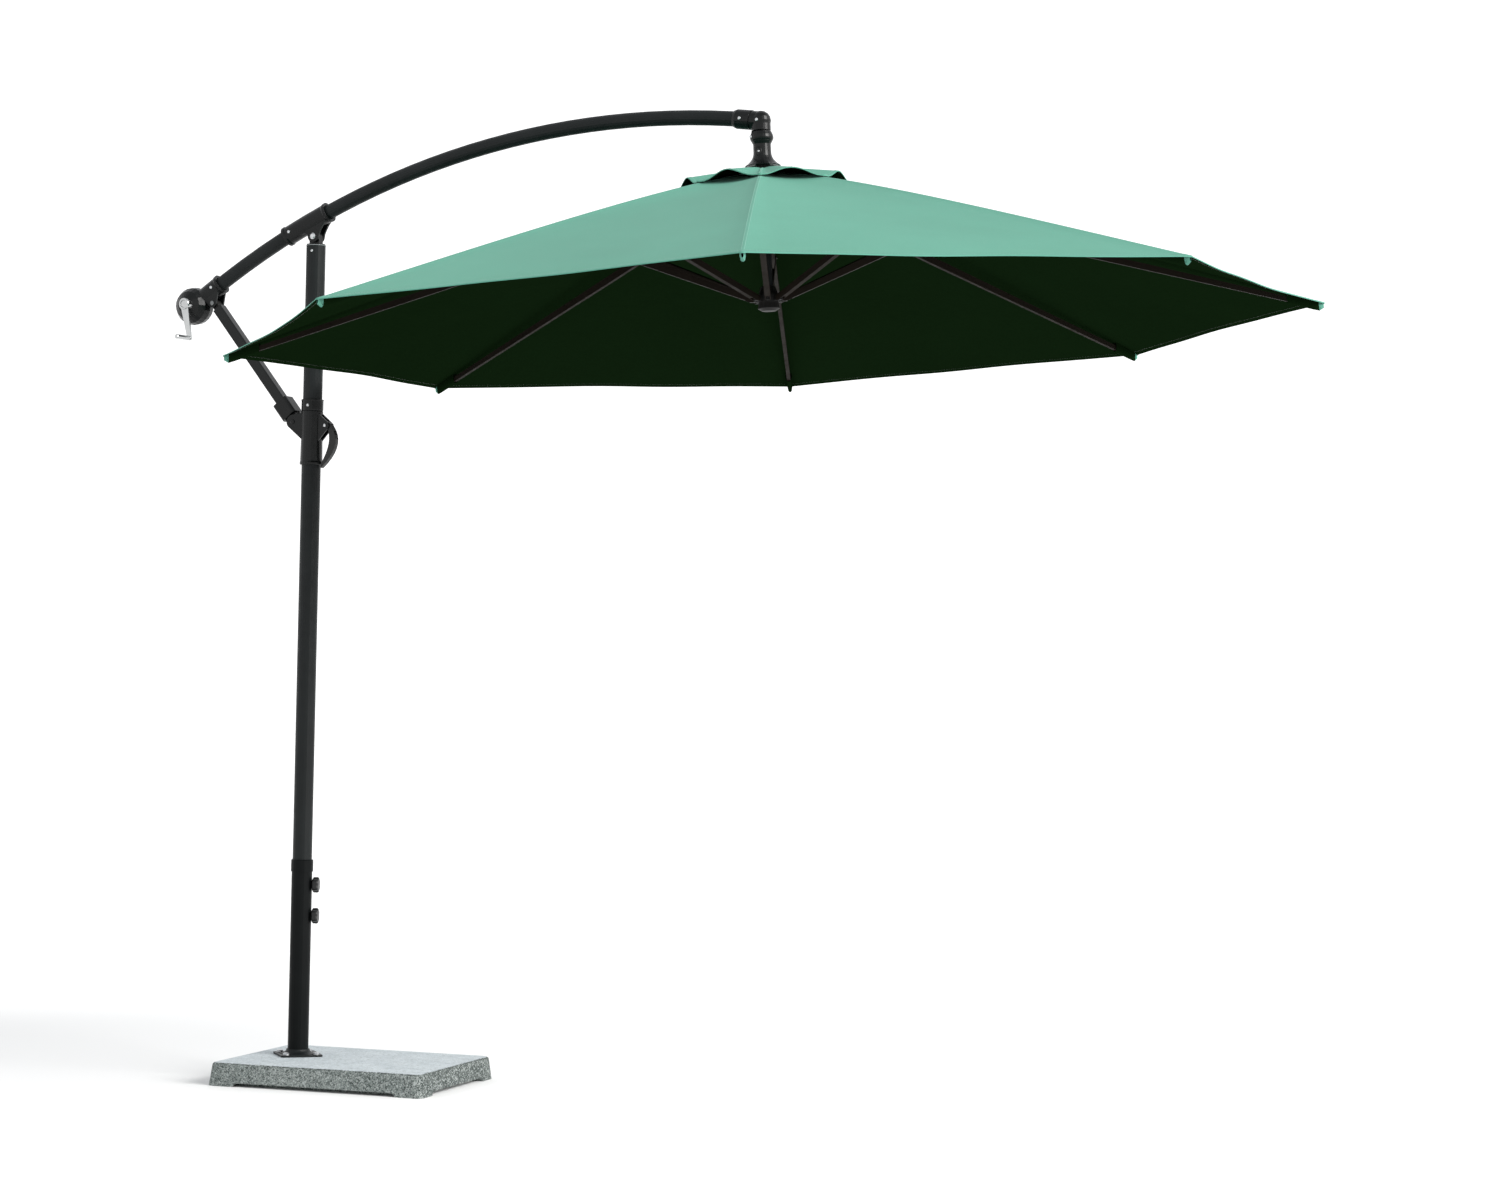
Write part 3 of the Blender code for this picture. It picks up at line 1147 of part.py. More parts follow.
# ---- the object ---------------------------------------------------------------------------------------------------
def clear_scene():
    for thing in list(bpy.data.objects):
        bpy.data.objects.remove(thing)


def build_base():
    base_slab()
    base_flange()
    flange_bolts()
    socket_tube()
    socket_collar()
    for label, height in zip(("lower", "upper"), KNOB_HEIGHTS):
        knob = clamp_knob(f"clamp_knob_{label}", height)
        carry(body(f"axis_knob_{label}", knob_place(height)), None, [knob])


def build_mast():
    """Mast, slider and lever; returns the mast's empty."""
    mast = body("axis_mast", Matrix.Identity(4))
    ear_far = ear_faces()[1]
    bolt = cross_pin("pivot_bolt", 0.0, PIVOT_HEIGHT, ear_far + FIT_GAP, PIVOT_BOLT, 0.0085, 0.0045)
    carry(mast, None, [mast_tube(), mast_head(), bolt])
    slider = body("axis_slider", Matrix.Translation((0.0, 0.0, SLIDER_BOTTOM)))
    foot_pin = cross_pin("strut_foot_pin", STRUT_FOOT_X, STRUT_FOOT_Z, FOOT_TONGUE + RUN_GAP + FOOT_EAR + FIT_GAP,
                         STRUT_PIN, 0.0065, 0.0020)
    lever_pin = cross_pin("lever_pin", LEVER_PIN_X, LEVER_PIN_Z, LEVER_HALF + RUN_GAP + LUG_THICKNESS + FIT_GAP,
                          0.003, 0.0042, 0.0016)
    carry(slider, mast, [slider_body(), slider_collar(), collar_screw(), foot_pin, lever_pin])
    carry(body("axis_lever", across(LEVER_PIN_X, LEVER_PIN_Z)), slider, [lock_lever()])
    return mast


def build_boom(mast):
    """Boom, housing, crank and strut; returns the boom's empty."""
    boom = body("axis_boom", across(0.0, PIVOT_HEIGHT))
    bracket = screw_hole(boom_bracket(), BRACKET_REAR + 0.020)
    end_sleeve = screw_hole(sleeve("boom_end_sleeve", END_SLEEVE_REAR, END_SLEEVE_FRONT, END_SLEEVE_RADIUS,
                                   "casting_paint", (False, False)), (END_SLEEVE_REAR + END_SLEEVE_FRONT) / 2.0)
    right_half = screw_hole(crank_housing("crank_housing_right", -1.0), HOUSING_MOUTH - 0.018)
    head_pin = cross_pin("strut_head_pin", STRUT_HEAD_X, STRUT_HEAD_Z,
                         STRUT_SIDE / 2.0 + RUN_GAP + 0.0055 + FIT_GAP, STRUT_PIN, 0.0060, 0.0020)
    top = corner()
    pieces = [
        boom_tube(), bracket, end_sleeve, crank_housing("crank_housing_left", 1.0), right_half, head_pin,
        boom_screw("bracket_screw", BRACKET_REAR + 0.020, BRACKET_RADIUS),
        boom_screw("housing_screw", HOUSING_MOUTH - 0.018, HOUSING_RADIUS),
        boom_screw("sleeve_screw", (END_SLEEVE_REAR + END_SLEEVE_FRONT) / 2.0, END_SLEEVE_RADIUS),
        boom_elbow(),
        canopy_pin("pulley_pin", 0.0, top, ELBOW_CORNER + FIT_GAP, 0.0025, 0.0040, 0.0015),
        canopy_pin("knuckle_pin", KNUCKLE_U, KNUCKLE_H, CUP_RADIUS - 0.0045, 0.0035, 0.0035, 0.0010),
    ]
    carry(boom, mast, pieces)
    crank = body("axis_crank", across(*crank_centre()))
    carry(crank, boom, [crank_arm(), cord_spool()])
    end_x, end_z = crank_end()
    carry(body("axis_grip", across(end_x, end_z, -CRANK_HUB_OUT)), crank, [crank_grip()])
    carry(body("axis_pulley", canopy_across(0.0, top)), boom, [cord_pulley()])
    carry(body("axis_strut", across(STRUT_HEAD_X, STRUT_HEAD_Z)), boom, [strut_tube(), strut_head(), strut_socket()])
    return boom


def build_canopy(boom):
    head = body("axis_canopy", canopy_across(KNUCKLE_U, KNUCKLE_H))
    carry(head, boom, [canopy_neck(), top_hub(), canopy_cover(), vent_flap()])
    spread("rib", rib_mesh(), rib_frame)
    runner = body("axis_runner", canopy_frame())
    carry(runner, head, [runner_hub(), runner_tube()])
    spread("stretcher", stretcher_mesh(), stretcher_frame)


def smooth_round_faces():
    for thing in bpy.data.objects:
        if thing.type == "MESH":
            thing.data.shade_smooth()
            thing.data.set_sharp_from_angle(angle=math.radians(35.0))


def main():
    clear_scene()
    build_base()
    build_canopy(build_boom(build_mast()))
    smooth_round_faces()


main()
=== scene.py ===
"""Cantilever parasol: the looks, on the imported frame. Metres, +Z up; the canopy hangs over +X."""
import json
import math

import bpy
from mathutils import Matrix, Vector


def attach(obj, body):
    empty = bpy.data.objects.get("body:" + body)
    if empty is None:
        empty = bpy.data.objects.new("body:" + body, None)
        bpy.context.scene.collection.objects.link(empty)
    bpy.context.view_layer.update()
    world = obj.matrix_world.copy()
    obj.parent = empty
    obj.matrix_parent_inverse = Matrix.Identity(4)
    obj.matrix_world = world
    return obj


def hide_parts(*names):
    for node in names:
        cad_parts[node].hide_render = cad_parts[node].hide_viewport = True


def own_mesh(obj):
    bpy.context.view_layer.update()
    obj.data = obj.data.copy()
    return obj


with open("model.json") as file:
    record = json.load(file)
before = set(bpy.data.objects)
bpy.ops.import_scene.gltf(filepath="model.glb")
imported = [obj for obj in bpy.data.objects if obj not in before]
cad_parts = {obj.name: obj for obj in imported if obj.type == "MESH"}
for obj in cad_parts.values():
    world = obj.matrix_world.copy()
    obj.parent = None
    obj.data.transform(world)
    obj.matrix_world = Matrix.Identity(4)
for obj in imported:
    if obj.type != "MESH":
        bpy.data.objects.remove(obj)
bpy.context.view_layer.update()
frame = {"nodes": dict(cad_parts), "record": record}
NODES = frame["nodes"]

# ---- the canopy's sizes, as in the CAD unless said ----------------------------------------------------------------
RIBS = 8
TIP_RADIUS = 1.350
RIDGE_H = 0.3725        # straight ridge line's height over the tips at the ribs' hinges
RIDGE_BOW = 0.0225      # how far the taut cloth's ridge arches over that line
RIB_DROP = 0.0155       # rib's centre line under the straight ridge line
HINGE_RADIUS = 0.045
RIVET_RADIUS = 0.455    # where stretcher and rib meet
PANEL_DIP = 0.012
HEM_SCALLOP = 0.023
COVER_HOLE = 0.030
COVER_SOLID = 0.0025
VENT_RADIUS = 0.218
VENT_HOLE = 0.024
VENT_GAP = 0.003
VENT_LIFT = 0.028       # the waves are 0.032 in the CAD
VENT_PEAK = 0.005
MAST_RADIUS = 0.025
MAST_TOP = 2.165
CANOPY = Matrix.Translation((1.3094, 0.0, 1.9196)) @ Matrix.Rotation(math.radians(-4.0), 4, "Y")
STEP = 2.0 * math.pi / RIBS


def rib_azimuth(number):
    return STEP * (number + 0.5)


# ---- camera, light and floor --------------------------------------------------------------------------------------
def make_camera():
    data = bpy.data.cameras.new("camera")
    data.sensor_fit, data.sensor_width, data.lens = "HORIZONTAL", 36.0, 84.74
    data.clip_start, data.clip_end = 0.1, 200.0
    camera = bpy.data.objects.new("camera", data)
    bpy.context.collection.objects.link(camera)
    yaw, pitch, roll = 0.4407, 0.0143, -0.0208
    turn = Matrix.Rotation(yaw, 3, "Z") @ Matrix.Rotation(pitch, 3, "X") @ Matrix.Rotation(roll, 3, "Y")
    right, ahead, up = (turn.col[i] for i in range(3))
    pose = Matrix((right, up, -ahead)).transposed().to_4x4()
    pose.translation = (4.9582, -7.818, 1.131)
    camera.matrix_world = pose
    bpy.context.scene.camera = camera


def sky_light(name, azimuth, elevation, spread, strength, colour):
    """A wide sun from one side of the sky."""
    data = bpy.data.lights.new(name, "SUN")
    data.energy, data.color, data.angle = strength, colour, math.radians(spread)
    lamp = bpy.data.objects.new(name, data)
    a, e = math.radians(azimuth), math.radians(elevation)
    towards = Vector((math.cos(e) * math.cos(a), math.cos(e) * math.sin(a), math.sin(e)))
    lamp.matrix_world = Matrix.Translation(towards * 8.0) @ (-towards).to_track_quat("-Z", "Y").to_matrix().to_4x4()
    bpy.context.collection.objects.link(lamp)


def make_studio():
    """A white surround that dims overhead, a key light from the canopy's free side, and a pale floor."""
    world = bpy.data.worlds.new("studio")
    bpy.context.scene.world = world
    world.use_nodes = True
    nodes, links = world.node_tree.nodes, world.node_tree.links
    sky = nodes["Background"]
    place = nodes.new("ShaderNodeTexCoord")
    split = nodes.new("ShaderNodeSeparateXYZ")
    ramp = nodes.new("ShaderNodeValToRGB")
    links.new(place.outputs["Generated"], split.inputs[0])
    links.new(split.outputs["Z"], ramp.inputs[0])
    horizon, zenith = ramp.color_ramp.elements
    horizon.position, horizon.color = 0.05, (0.84, 0.84, 0.84, 1.0)
    zenith.position, zenith.color = 1.0, (0.36, 0.37, 0.38, 1.0)
    ramp.color_ramp.elements.new(0.42).color = (0.73, 0.74, 0.75, 1.0)
    links.new(ramp.outputs[0], sky.inputs["Color"])
    sky.inputs["Strength"].default_value = 1.55
    sky_light("key", -5.0, 28.0, 40.0, 4.9, (1.0, 0.99, 0.97))
    mesh = bpy.data.meshes.new("floor")
    side = 60.0
    corners = [(-side, -side, 0.0), (side, -side, 0.0), (side, side, 0.0), (-side, side, 0.0)]
    mesh.from_pydata(corners, [], [(0, 1, 2, 3)])
    floor = bpy.data.objects.new("floor", mesh)
    bpy.context.collection.objects.link(floor)
    paint = bpy.data.materials.new("studio_floor")
    paint.use_nodes = True
    shader = paint.node_tree.nodes["Principled BSDF"]
    shader.inputs["Base Color"].default_value = (0.80, 0.80, 0.80, 1.0)
    shader.inputs["Roughness"].default_value = 0.9
    shader.inputs["Specular IOR Level"].default_value = 0.1
    mesh.materials.append(paint)
    bpy.context.scene.view_settings.view_transform = "Standard"


# ---- materials ----------------------------------------------------------------------------------------------------
class Finish:
    """A Principled material and short ways to add procedural detail to it."""

    def __init__(self, name, colour, rough, metallic=0.0, level=0.5, **values):
        self.material = bpy.data.materials.new(name)
        self.material.use_nodes = True
        self.nodes, self.links = self.material.node_tree.nodes, self.material.node_tree.links
        self.shader = self.nodes["Principled BSDF"]
        self.place = self.nodes.new("ShaderNodeTexCoord")
        self.put("Base Color", (*colour, 1.0))
        self.put("Roughness", rough)
        self.put("Metallic", metallic)
        self.put("Specular IOR Level", level)
        for key, value in values.items():
            self.put(key.replace("_", " "), value)
        self.height = None

    def put(self, socket, value):
        self.shader.inputs[socket].default_value = value

    def math(self, kind, a, b=None):
        node = self.nodes.new("ShaderNodeMath")
        node.operation = kind
        for socket, value in zip(node.inputs, (a, b)):
            if value is None:
                continue
            if isinstance(value, (int, float)):
                socket.default_value = value
            else:
                self.links.new(value, socket)
        return node.outputs[0]

    def spot(self, stretch=(1.0, 1.0, 1.0), source="Object"):
        node = self.nodes.new("ShaderNodeMapping")
        node.inputs["Scale"].default_value = stretch
        self.links.new(self.place.outputs[source], node.inputs["Vector"])
        return node.outputs[0]

    def noise(self, scale, detail=4.0, rough=0.55, stretch=(1.0, 1.0, 1.0), source="Object"):
        node = self.nodes.new("ShaderNodeTexNoise")
        node.inputs["Scale"].default_value = scale
        node.inputs["Detail"].default_value = detail
        node.inputs["Roughness"].default_value = rough
        self.links.new(self.spot(stretch, source), node.inputs["Vector"])
        return node.outputs["Fac"]

    def grains(self, scale, stretch=(1.0, 1.0, 1.0)):
        node = self.nodes.new("ShaderNodeTexVoronoi")
        node.inputs["Scale"].default_value = scale
        self.links.new(self.spot(stretch), node.inputs["Vector"])
        return node.outputs["Distance"], node.outputs["Color"]

    def span(self, value, low, high, to_low, to_high):
        node = self.nodes.new("ShaderNodeMapRange")
        for socket, number in zip(("From Min", "From Max", "To Min", "To Max"), (low, high, to_low, to_high)):
            node.inputs[socket].default_value = number
        self.links.new(value, node.inputs["Value"])
        return node.outputs[0]

    def blend(self, share, a, b):
        """A colour between a and b by share; a and b are colours or sockets."""
        node = self.nodes.new("ShaderNodeMix")
        node.data_type = "RGBA"
        self.links.new(share, node.inputs[0])
        for socket, value in ((node.inputs[6], a), (node.inputs[7], b)):
            if isinstance(value, tuple):
                socket.default_value = (*value, 1.0)
            else:
                self.links.new(value, socket)
        return node.outputs[2]

    def soften(self, radius):
        """Rounds the look of sharp edges."""
        node = self.nodes.new("ShaderNodeBevel")
        node.samples = 4
        node.inputs["Radius"].default_value = radius
        self.height = node.outputs[0]

    def paint(self, socket):
        self.links.new(socket, self.shader.inputs["Base Color"])

    def roughen(self, value, low, high):
        """Roughness from low to high with a pattern."""
        self.links.new(self.span(value, 0.3, 0.7, low, high), self.shader.inputs["Roughness"])

    def bump(self, value, distance, strength=1.0):
        node = self.nodes.new("ShaderNodeBump")
        node.inputs["Distance"].default_value = distance
        node.inputs["Strength"].default_value = strength
        self.links.new(value, node.inputs["Height"])
        if self.height:
            self.links.new(self.height, node.inputs["Normal"])
        self.height = node.outputs[0]
        self.links.new(self.height, self.shader.inputs["Normal"])


def shade(colour, factor):
    return tuple(c * factor for c in colour)


def powder_coat(name, colour, rough=0.42, level=0.35):
    """Baked powder paint on tube: an orange-peel skin with slightly dusty patches."""
    f = Finish(name, colour, rough, level=level)
    patches = f.noise(9.0, 6.0, 0.6)
    f.paint(f.blend(f.span(patches, 0.35, 0.70, 0.0, 1.0), shade(colour, 0.86), shade(colour, 1.22)))
    f.roughen(f.noise(45.0, 5.0), rough - 0.07, rough + 0.10)
    f.bump(f.noise(750.0, 2.0), 0.00010, 0.35)
    return f.material


def moulded(name, colour, rough=0.5, level=0.4, grain=1400.0, edge=0.0012):
    """Moulded, painted nylon: finer grain, softer shine, and edges that catch the light."""
    f = Finish(name, colour, rough, level=level)
    f.soften(edge)
    f.paint(f.blend(f.span(f.noise(14.0, 5.0), 0.3, 0.7, 0.0, 1.0), shade(colour, 0.88), shade(colour, 1.15)))
    f.roughen(f.noise(60.0, 4.0), rough - 0.06, rough + 0.08)
    f.bump(f.noise(grain, 3.0), 0.00012, 0.4)
    return f.material


def bright_metal(name, colour, rough, brushed):
    f = Finish(name, colour, rough, metallic=1.0)
    streak = f.noise(260.0, 4.0, 0.6, (1.0, 1.0, 0.12)) if brushed else f.noise(70.0, 4.0)
    f.paint(f.blend(f.span(f.noise(30.0, 4.0), 0.3, 0.7, 0.0, 1.0), shade(colour, 0.85), colour))
    f.roughen(streak, rough * 0.7, rough * 1.4)
    f.bump(streak, 0.00004, 0.25)
    return f.material


def concrete(name):
    """Cast concrete with granite grit: a trowelled top painted pale as painted light, sides where the grit shows, a
    dark dotted upper edge.
    """
    f = Finish(name, (0.30, 0.32, 0.32), 0.85, level=0.2)
    facing = f.nodes.new("ShaderNodeNewGeometry")
    parts = f.nodes.new("ShaderNodeSeparateXYZ")
    f.links.new(facing.outputs["Normal"], parts.inputs[0])
    edge = f.span(f.noise(130.0, 5.0, 0.7), 0.3, 0.7, -0.10, 0.10)
    top = f.span(f.math("ADD", parts.outputs["Z"], edge), 0.86, 0.99, 0.0, 1.0)
    patches = f.span(f.noise(11.0, 8.0, 0.65), 0.3, 0.7, 0.0, 1.0)
    side = f.blend(patches, (0.105, 0.126, 0.120), (0.180, 0.204, 0.195))
    # Painted shade: the side facing +X is painted darker.
    painted_shade_side = f.span(parts.outputs["X"], 0.3, 0.9, 0.0, 1.0)
    side = f.blend(painted_shade_side, side, (0.045, 0.055, 0.052))
    split, fine = (f.nodes.new("ShaderNodeSeparateColor") for _ in range(2))
    f.links.new(f.grains(250.0)[1], split.inputs[0])
    f.links.new(f.grains(560.0)[1], fine.inputs[0])
    for parts_of, low, high in ((split, 0.66, 0.74), (fine, 0.70, 0.80)):
        side = f.blend(f.span(parts_of.outputs[0], low, high, 0.0, 0.70), side, (0.030, 0.038, 0.036))
        side = f.blend(f.span(parts_of.outputs[1], low + 0.05, high + 0.07, 0.0, 0.55), side, (0.36, 0.39, 0.38))
    rim = f.math("MULTIPLY", f.span(parts.outputs["Z"], 0.30, 0.60, 0.0, 1.0),
                 f.span(parts.outputs["Z"], 0.93, 0.99, 1.0, 0.0))
    rim = f.math("MULTIPLY", rim, f.span(split.outputs[2], 0.45, 0.55, 0.0, 0.85))
    trowelled = f.span(f.noise(26.0, 8.0, 0.7), 0.3, 0.7, 0.0, 1.0)
    # Painted light: the top is painted pale for the light that falls on it; its clouding and sparse grit are the
    # concrete's own.
    painted_light_top = f.blend(trowelled, (0.41, 0.455, 0.485), (0.545, 0.59, 0.61))
    painted_light_top = f.blend(f.span(fine.outputs[0], 0.82, 0.92, 0.0, 0.45), painted_light_top, (0.20, 0.22, 0.22))
    f.paint(f.blend(rim, f.blend(top, side, painted_light_top), (0.035, 0.042, 0.040)))
    rough = f.math("MULTIPLY", f.noise(330.0, 6.0, 0.7), f.span(top, 0.0, 1.0, 1.0, 0.25))
    f.bump(rough, 0.0008, 0.6)
    f.bump(f.math("MULTIPLY", split.outputs[2], f.span(top, 0.0, 1.0, 1.0, 0.15)), 0.0006, 0.5)
    return f.material


THREAD_PITCH = 0.0011


def weave(name, colour, contrast=0.05, level=0.25, sheen=0.25):
    """Coated polyester cloth: crossed threads, slubs along both, and a faint clouding."""
    f = Finish(name, colour, 0.78, level=level)
    f.put("Sheen Weight", sheen)
    f.put("Sheen Roughness", 0.45)
    split = f.nodes.new("ShaderNodeSeparateXYZ")
    f.links.new(f.spot(source="UV"), split.inputs[0])
    warp = f.math("SINE", f.math("MULTIPLY", split.outputs["X"], 2.0 * math.pi / THREAD_PITCH))
    weft = f.math("SINE", f.math("MULTIPLY", split.outputs["Y"], 2.0 * math.pi / THREAD_PITCH))
    cross = f.math("MULTIPLY", warp, weft)
    along = f.noise(1.0, 4.0, 0.6, (9.0, 420.0, 1.0), "UV")
    over = f.noise(1.0, 4.0, 0.6, (420.0, 9.0, 1.0), "UV")
    slub = f.math("ADD", f.math("MULTIPLY", along, 0.6), f.math("MULTIPLY", over, 0.4))
    cloud = f.noise(2.2, 5.0, 0.6, source="Object")
    share = f.math("ADD", f.math("MULTIPLY", slub, 0.65), f.math("MULTIPLY", cloud, 0.35))
    f.paint(f.blend(f.span(share, 0.36, 0.64, 0.0, 1.0),
                    shade(colour, 1.0 - 2.0 * contrast), shade(colour, 1.0 + 2.0 * contrast)))
    f.roughen(slub, 0.70, 0.86)
    f.bump(cross, 0.00012, 0.35)
    f.bump(slub, 0.00020, 0.30)
    return f.material


def thread(name, colour):
    f = Finish(name, colour, 0.7, level=0.3)
    f.put("Sheen Weight", 0.3)
    twist = f.noise(1800.0, 2.0)
    f.paint(f.blend(f.span(twist, 0.3, 0.7, 0.0, 1.0), shade(colour, 0.75), shade(colour, 1.2)))
    f.bump(twist, 0.0002, 0.5)
    return f.material


make_camera()
make_studio()

SLATE = (0.0092, 0.0112, 0.0116)
M = {
    "frame": powder_coat("frame_powder_coat", shade(SLATE, 0.84), 0.44, 0.15),
    "strut": powder_coat("strut_powder_coat", shade(SLATE, 0.45), 0.20, 0.22),
    "casting": moulded("casting_slate", shade(SLATE, 0.30), 0.26, 0.22, edge=0.0018),
    "socket": powder_coat("socket_powder_coat", shade(SLATE, 0.38), 0.40, 0.07),
    "dull": bright_metal("steel_pin", (0.20, 0.21, 0.21), 0.42, False),
    # A light paint for the mast's top edge: a painted highlight.
    "edge": powder_coat("painted_highlight_rim", (0.20, 0.215, 0.22), 0.30, 0.5),
    "black": moulded("black_plastic", (0.0045, 0.0047, 0.0047), 0.38, 0.35),
    "hub": moulded("hub_nylon", (0.0065, 0.0062, 0.0055), 0.55, 0.25),
    "rib": powder_coat("rib_enamel", (0.0105, 0.0078, 0.0055), 0.6, 0.08),
    "chrome": bright_metal("chrome", (0.50, 0.51, 0.51), 0.14, False),
    "zinc": bright_metal("zinc_plate", (0.55, 0.56, 0.57), 0.28, True),
    "concrete": concrete("grey_granite_concrete"),
    "top": weave("canopy_cloth", (0.084, 0.254, 0.190), 0.045, 0.12, 0.04),
    # Painted shade: the underside's cloth is painted dark for the shade under the canopy; the real cloth is the same
    # on both sides.
    "under": weave("canopy_cloth_painted_shade", (0.0040, 0.0112, 0.0034), 0.06, 0.0, 0.0),
    "thread": thread("seam_thread", (0.14, 0.36, 0.28)),
    # Painted shade: the underside's stitches, as dark as the underside's cloth.
    "thread_dark": thread("seam_thread_painted_shade", (0.006, 0.016, 0.007)),
}
SLOT_LOOK = {
    "concrete": "concrete", "frame_paint": "frame", "casting_paint": "casting", "black_plastic": "black",
    "hub_plastic": "hub", "chrome": "chrome", "zinc": "zinc", "rib_paint": "rib", "canopy_fabric": "top",
}


OWN_LOOK = {
    "strut_tube": "strut", "socket_tube": "socket", "socket_collar": "socket", "strut_foot_pin": "casting",
    "strut_head_pin": "dull",
}


def dress_nodes():
    """Gives every CAD node the finish of its record slot, or its own."""
    slots = {}
    for row in frame["record"]["subparts"]:
        slots[row["node"]] = row.get("material") or row.get("material_slot")
    for name, piece in NODES.items():
        look = OWN_LOOK.get(name) or SLOT_LOOK.get(slots.get(name), "frame")
        for slot in piece.material_slots:
            slot.material = M[look]
        if not piece.material_slots:
            piece.data.materials.append(M[look])


dress_nodes()


# ---- cloth --------------------------------------------------------------------------------------------------------
def ridge_line(radius):
    return RIDGE_H * (TIP_RADIUS - radius) / (TIP_RADIUS - HINGE_RADIUS)


def ridge_h(radius):
    reach = min(radius / TIP_RADIUS, 1.0)
    return ridge_line(radius) + RIDGE_BOW * math.sin(math.pi * reach**0.6)


RIPPLE = 0.0008


def ripple(panel, share, reach):
    """Small pulls in a panel, nothing at its ribs."""
    a, b = 1.7 * panel, 2.9 * panel + 0.6
    bow = 4.0 * share * (1.0 - share)
    turn = 2.0 * math.pi
    long_wave = math.sin(turn * (1.4 * share + 0.8 * reach) + a)
    long_wave += 0.5 * math.sin(turn * (2.6 * share - 1.1 * reach) + b)
    hem_wave = math.sin(turn * 2.0 * share + b)
    return bow * RIPPLE * (reach**1.5 * long_wave + reach**14 * hem_wave)


def cover_at(panel, share, radius):
    half = math.pi / RIBS
    angle = (share - 0.5) * 2.0 * half
    bow = 4.0 * share * (1.0 - share)
    reach = min(radius / TIP_RADIUS, 1.0)
    chord = radius * math.cos(half) / math.cos(angle)
    dip = PANEL_DIP * bow * math.sin(math.pi * reach**0.8)
    return chord - HEM_SCALLOP * bow * reach**6, ridge_h(radius) - dip + ripple(panel, share, reach)


def vent_at(panel, share, radius):
    distance, height = cover_at(panel, share, radius)
    reach = min(radius / VENT_RADIUS, 1.0)
    wave = math.sin(math.pi * share) ** 2
    bow = 4.0 * share * (1.0 - share)
    flutter = 0.0022 * math.sin(3.0 * math.pi * share + 2.1 * panel) * bow * reach**3
    rise = VENT_GAP + COVER_SOLID + VENT_LIFT * wave * reach + VENT_PEAK * (1.0 - reach)
    return distance, height + rise + flutter


def cloth_spot(surface, rib, turn, radius, lift=0.0):
    """A point on the cloth: turn is -0.5 to 0.5 of the step between ribs, lift is along the canopy's axis."""
    panel, share = (rib, turn) if turn >= 0.0 else ((rib - 1) % RIBS, 1.0 + turn)
    distance, height = surface(panel, share, radius)
    angle = rib_azimuth(rib) + turn * STEP
    return CANOPY @ Vector((distance * math.cos(angle), distance * math.sin(angle), height + lift))


def cloth_normal(surface, rib, turn, radius, inner, outer):
    """The cloth's own direction, the same from both of two neighbouring pieces."""
    small, near = 0.002, 0.002
    if abs(turn) >= 0.5 - 1e-6:      # on the join, each side is read across it
        other = (rib + 1) % RIBS if turn > 0 else (rib - 1) % RIBS
        sign = 1.0 if turn > 0 else -1.0
        ahead = cloth_spot(surface, other, -sign * (0.5 - small), radius)
        behind = cloth_spot(surface, rib, sign * (0.5 - small), radius)
        side = (ahead - behind) * sign
    else:
        low, high = turn - small, turn + small
        if turn > 0.0:                # not across the ridge
            low = max(low, 0.0)
        side = cloth_spot(surface, rib, min(high, 0.5), radius) - cloth_spot(surface, rib, max(low, -0.5), radius)
    out = (cloth_spot(surface, rib, turn, min(radius + near, outer))
           - cloth_spot(surface, rib, turn, max(radius - near, inner)))
    return out.cross(side).normalized()


def turns_at(radius, half_seam, count):
    """Columns from one join to the next: close together on the ridge seam, then even to the joins."""
    arc = radius * STEP
    first, second = min(half_seam / arc, 0.08), min(1.6 * half_seam / arc, 0.13)
    side = [first, second] + [second + (0.5 - second) * (i / count) ** 0.9 for i in range(1, count + 1)]
    return [-t for t in reversed(side)] + [0.0] + side, (first, second)


def add_stitches(points, faces, slots, line, normals, length, gap, width, slot):
    """Short raised dashes of thread along a line of points."""
    distance, spots = 0.0, []
    for (a, b), n in zip(zip(line, line[1:]), normals):
        run = (b - a).length
        while distance < run:
            spots.append((a + (b - a) * (distance / run), (b - a).normalized(), n))
            distance += length + gap
        distance -= run
    for spot, ahead, n in spots:
        side = ahead.cross(n).normalized() * width
        start = len(points)
        up = n * width * 0.9
        end = spot + ahead * length
        points += [spot - side, spot + side, end + side, end - side,
                   spot + ahead * length * 0.22 + up - side * 0.5, spot + ahead * length * 0.22 + up + side * 0.5,
                   spot + ahead * length * 0.78 + up + side * 0.5, spot + ahead * length * 0.78 + up - side * 0.5]
        for quad in ((4, 5, 6, 7), (0, 1, 5, 4), (1, 2, 6, 5), (2, 3, 7, 6), (3, 0, 4, 7)):
            faces.append([start + k for k in quad])
            slots.append(slot)


SEAM_PLY, HEM_PLY = 0.0008, 0.0006          # what a seam and a turned hem add to the cloth
STITCH = (0.0042, 0.0030, 0.00042)          # a stitch's length, the gap after it, half its width
POCKET_LENGTH, POCKET_END = 0.088, 0.0015   # the tip pocket's start and end, inwards from the tip
POCKET_ROWS = ((0.0, 0.0088, 0.0240), (0.45, 0.0082, 0.0236), (0.72, 0.0076, 0.0230), (0.88, 0.0068, 0.0222),
               (1.0, 0.0028, 0.0120))       # share of its length, half width, depth
POCKET_SECTION = ((-1.0, 0.06), (-0.97, 0.45), (-0.72, 0.86), (-0.3, 1.0), (0.3, 1.0), (0.72, 0.86), (0.97, 0.45),
                  (1.0, 0.06))


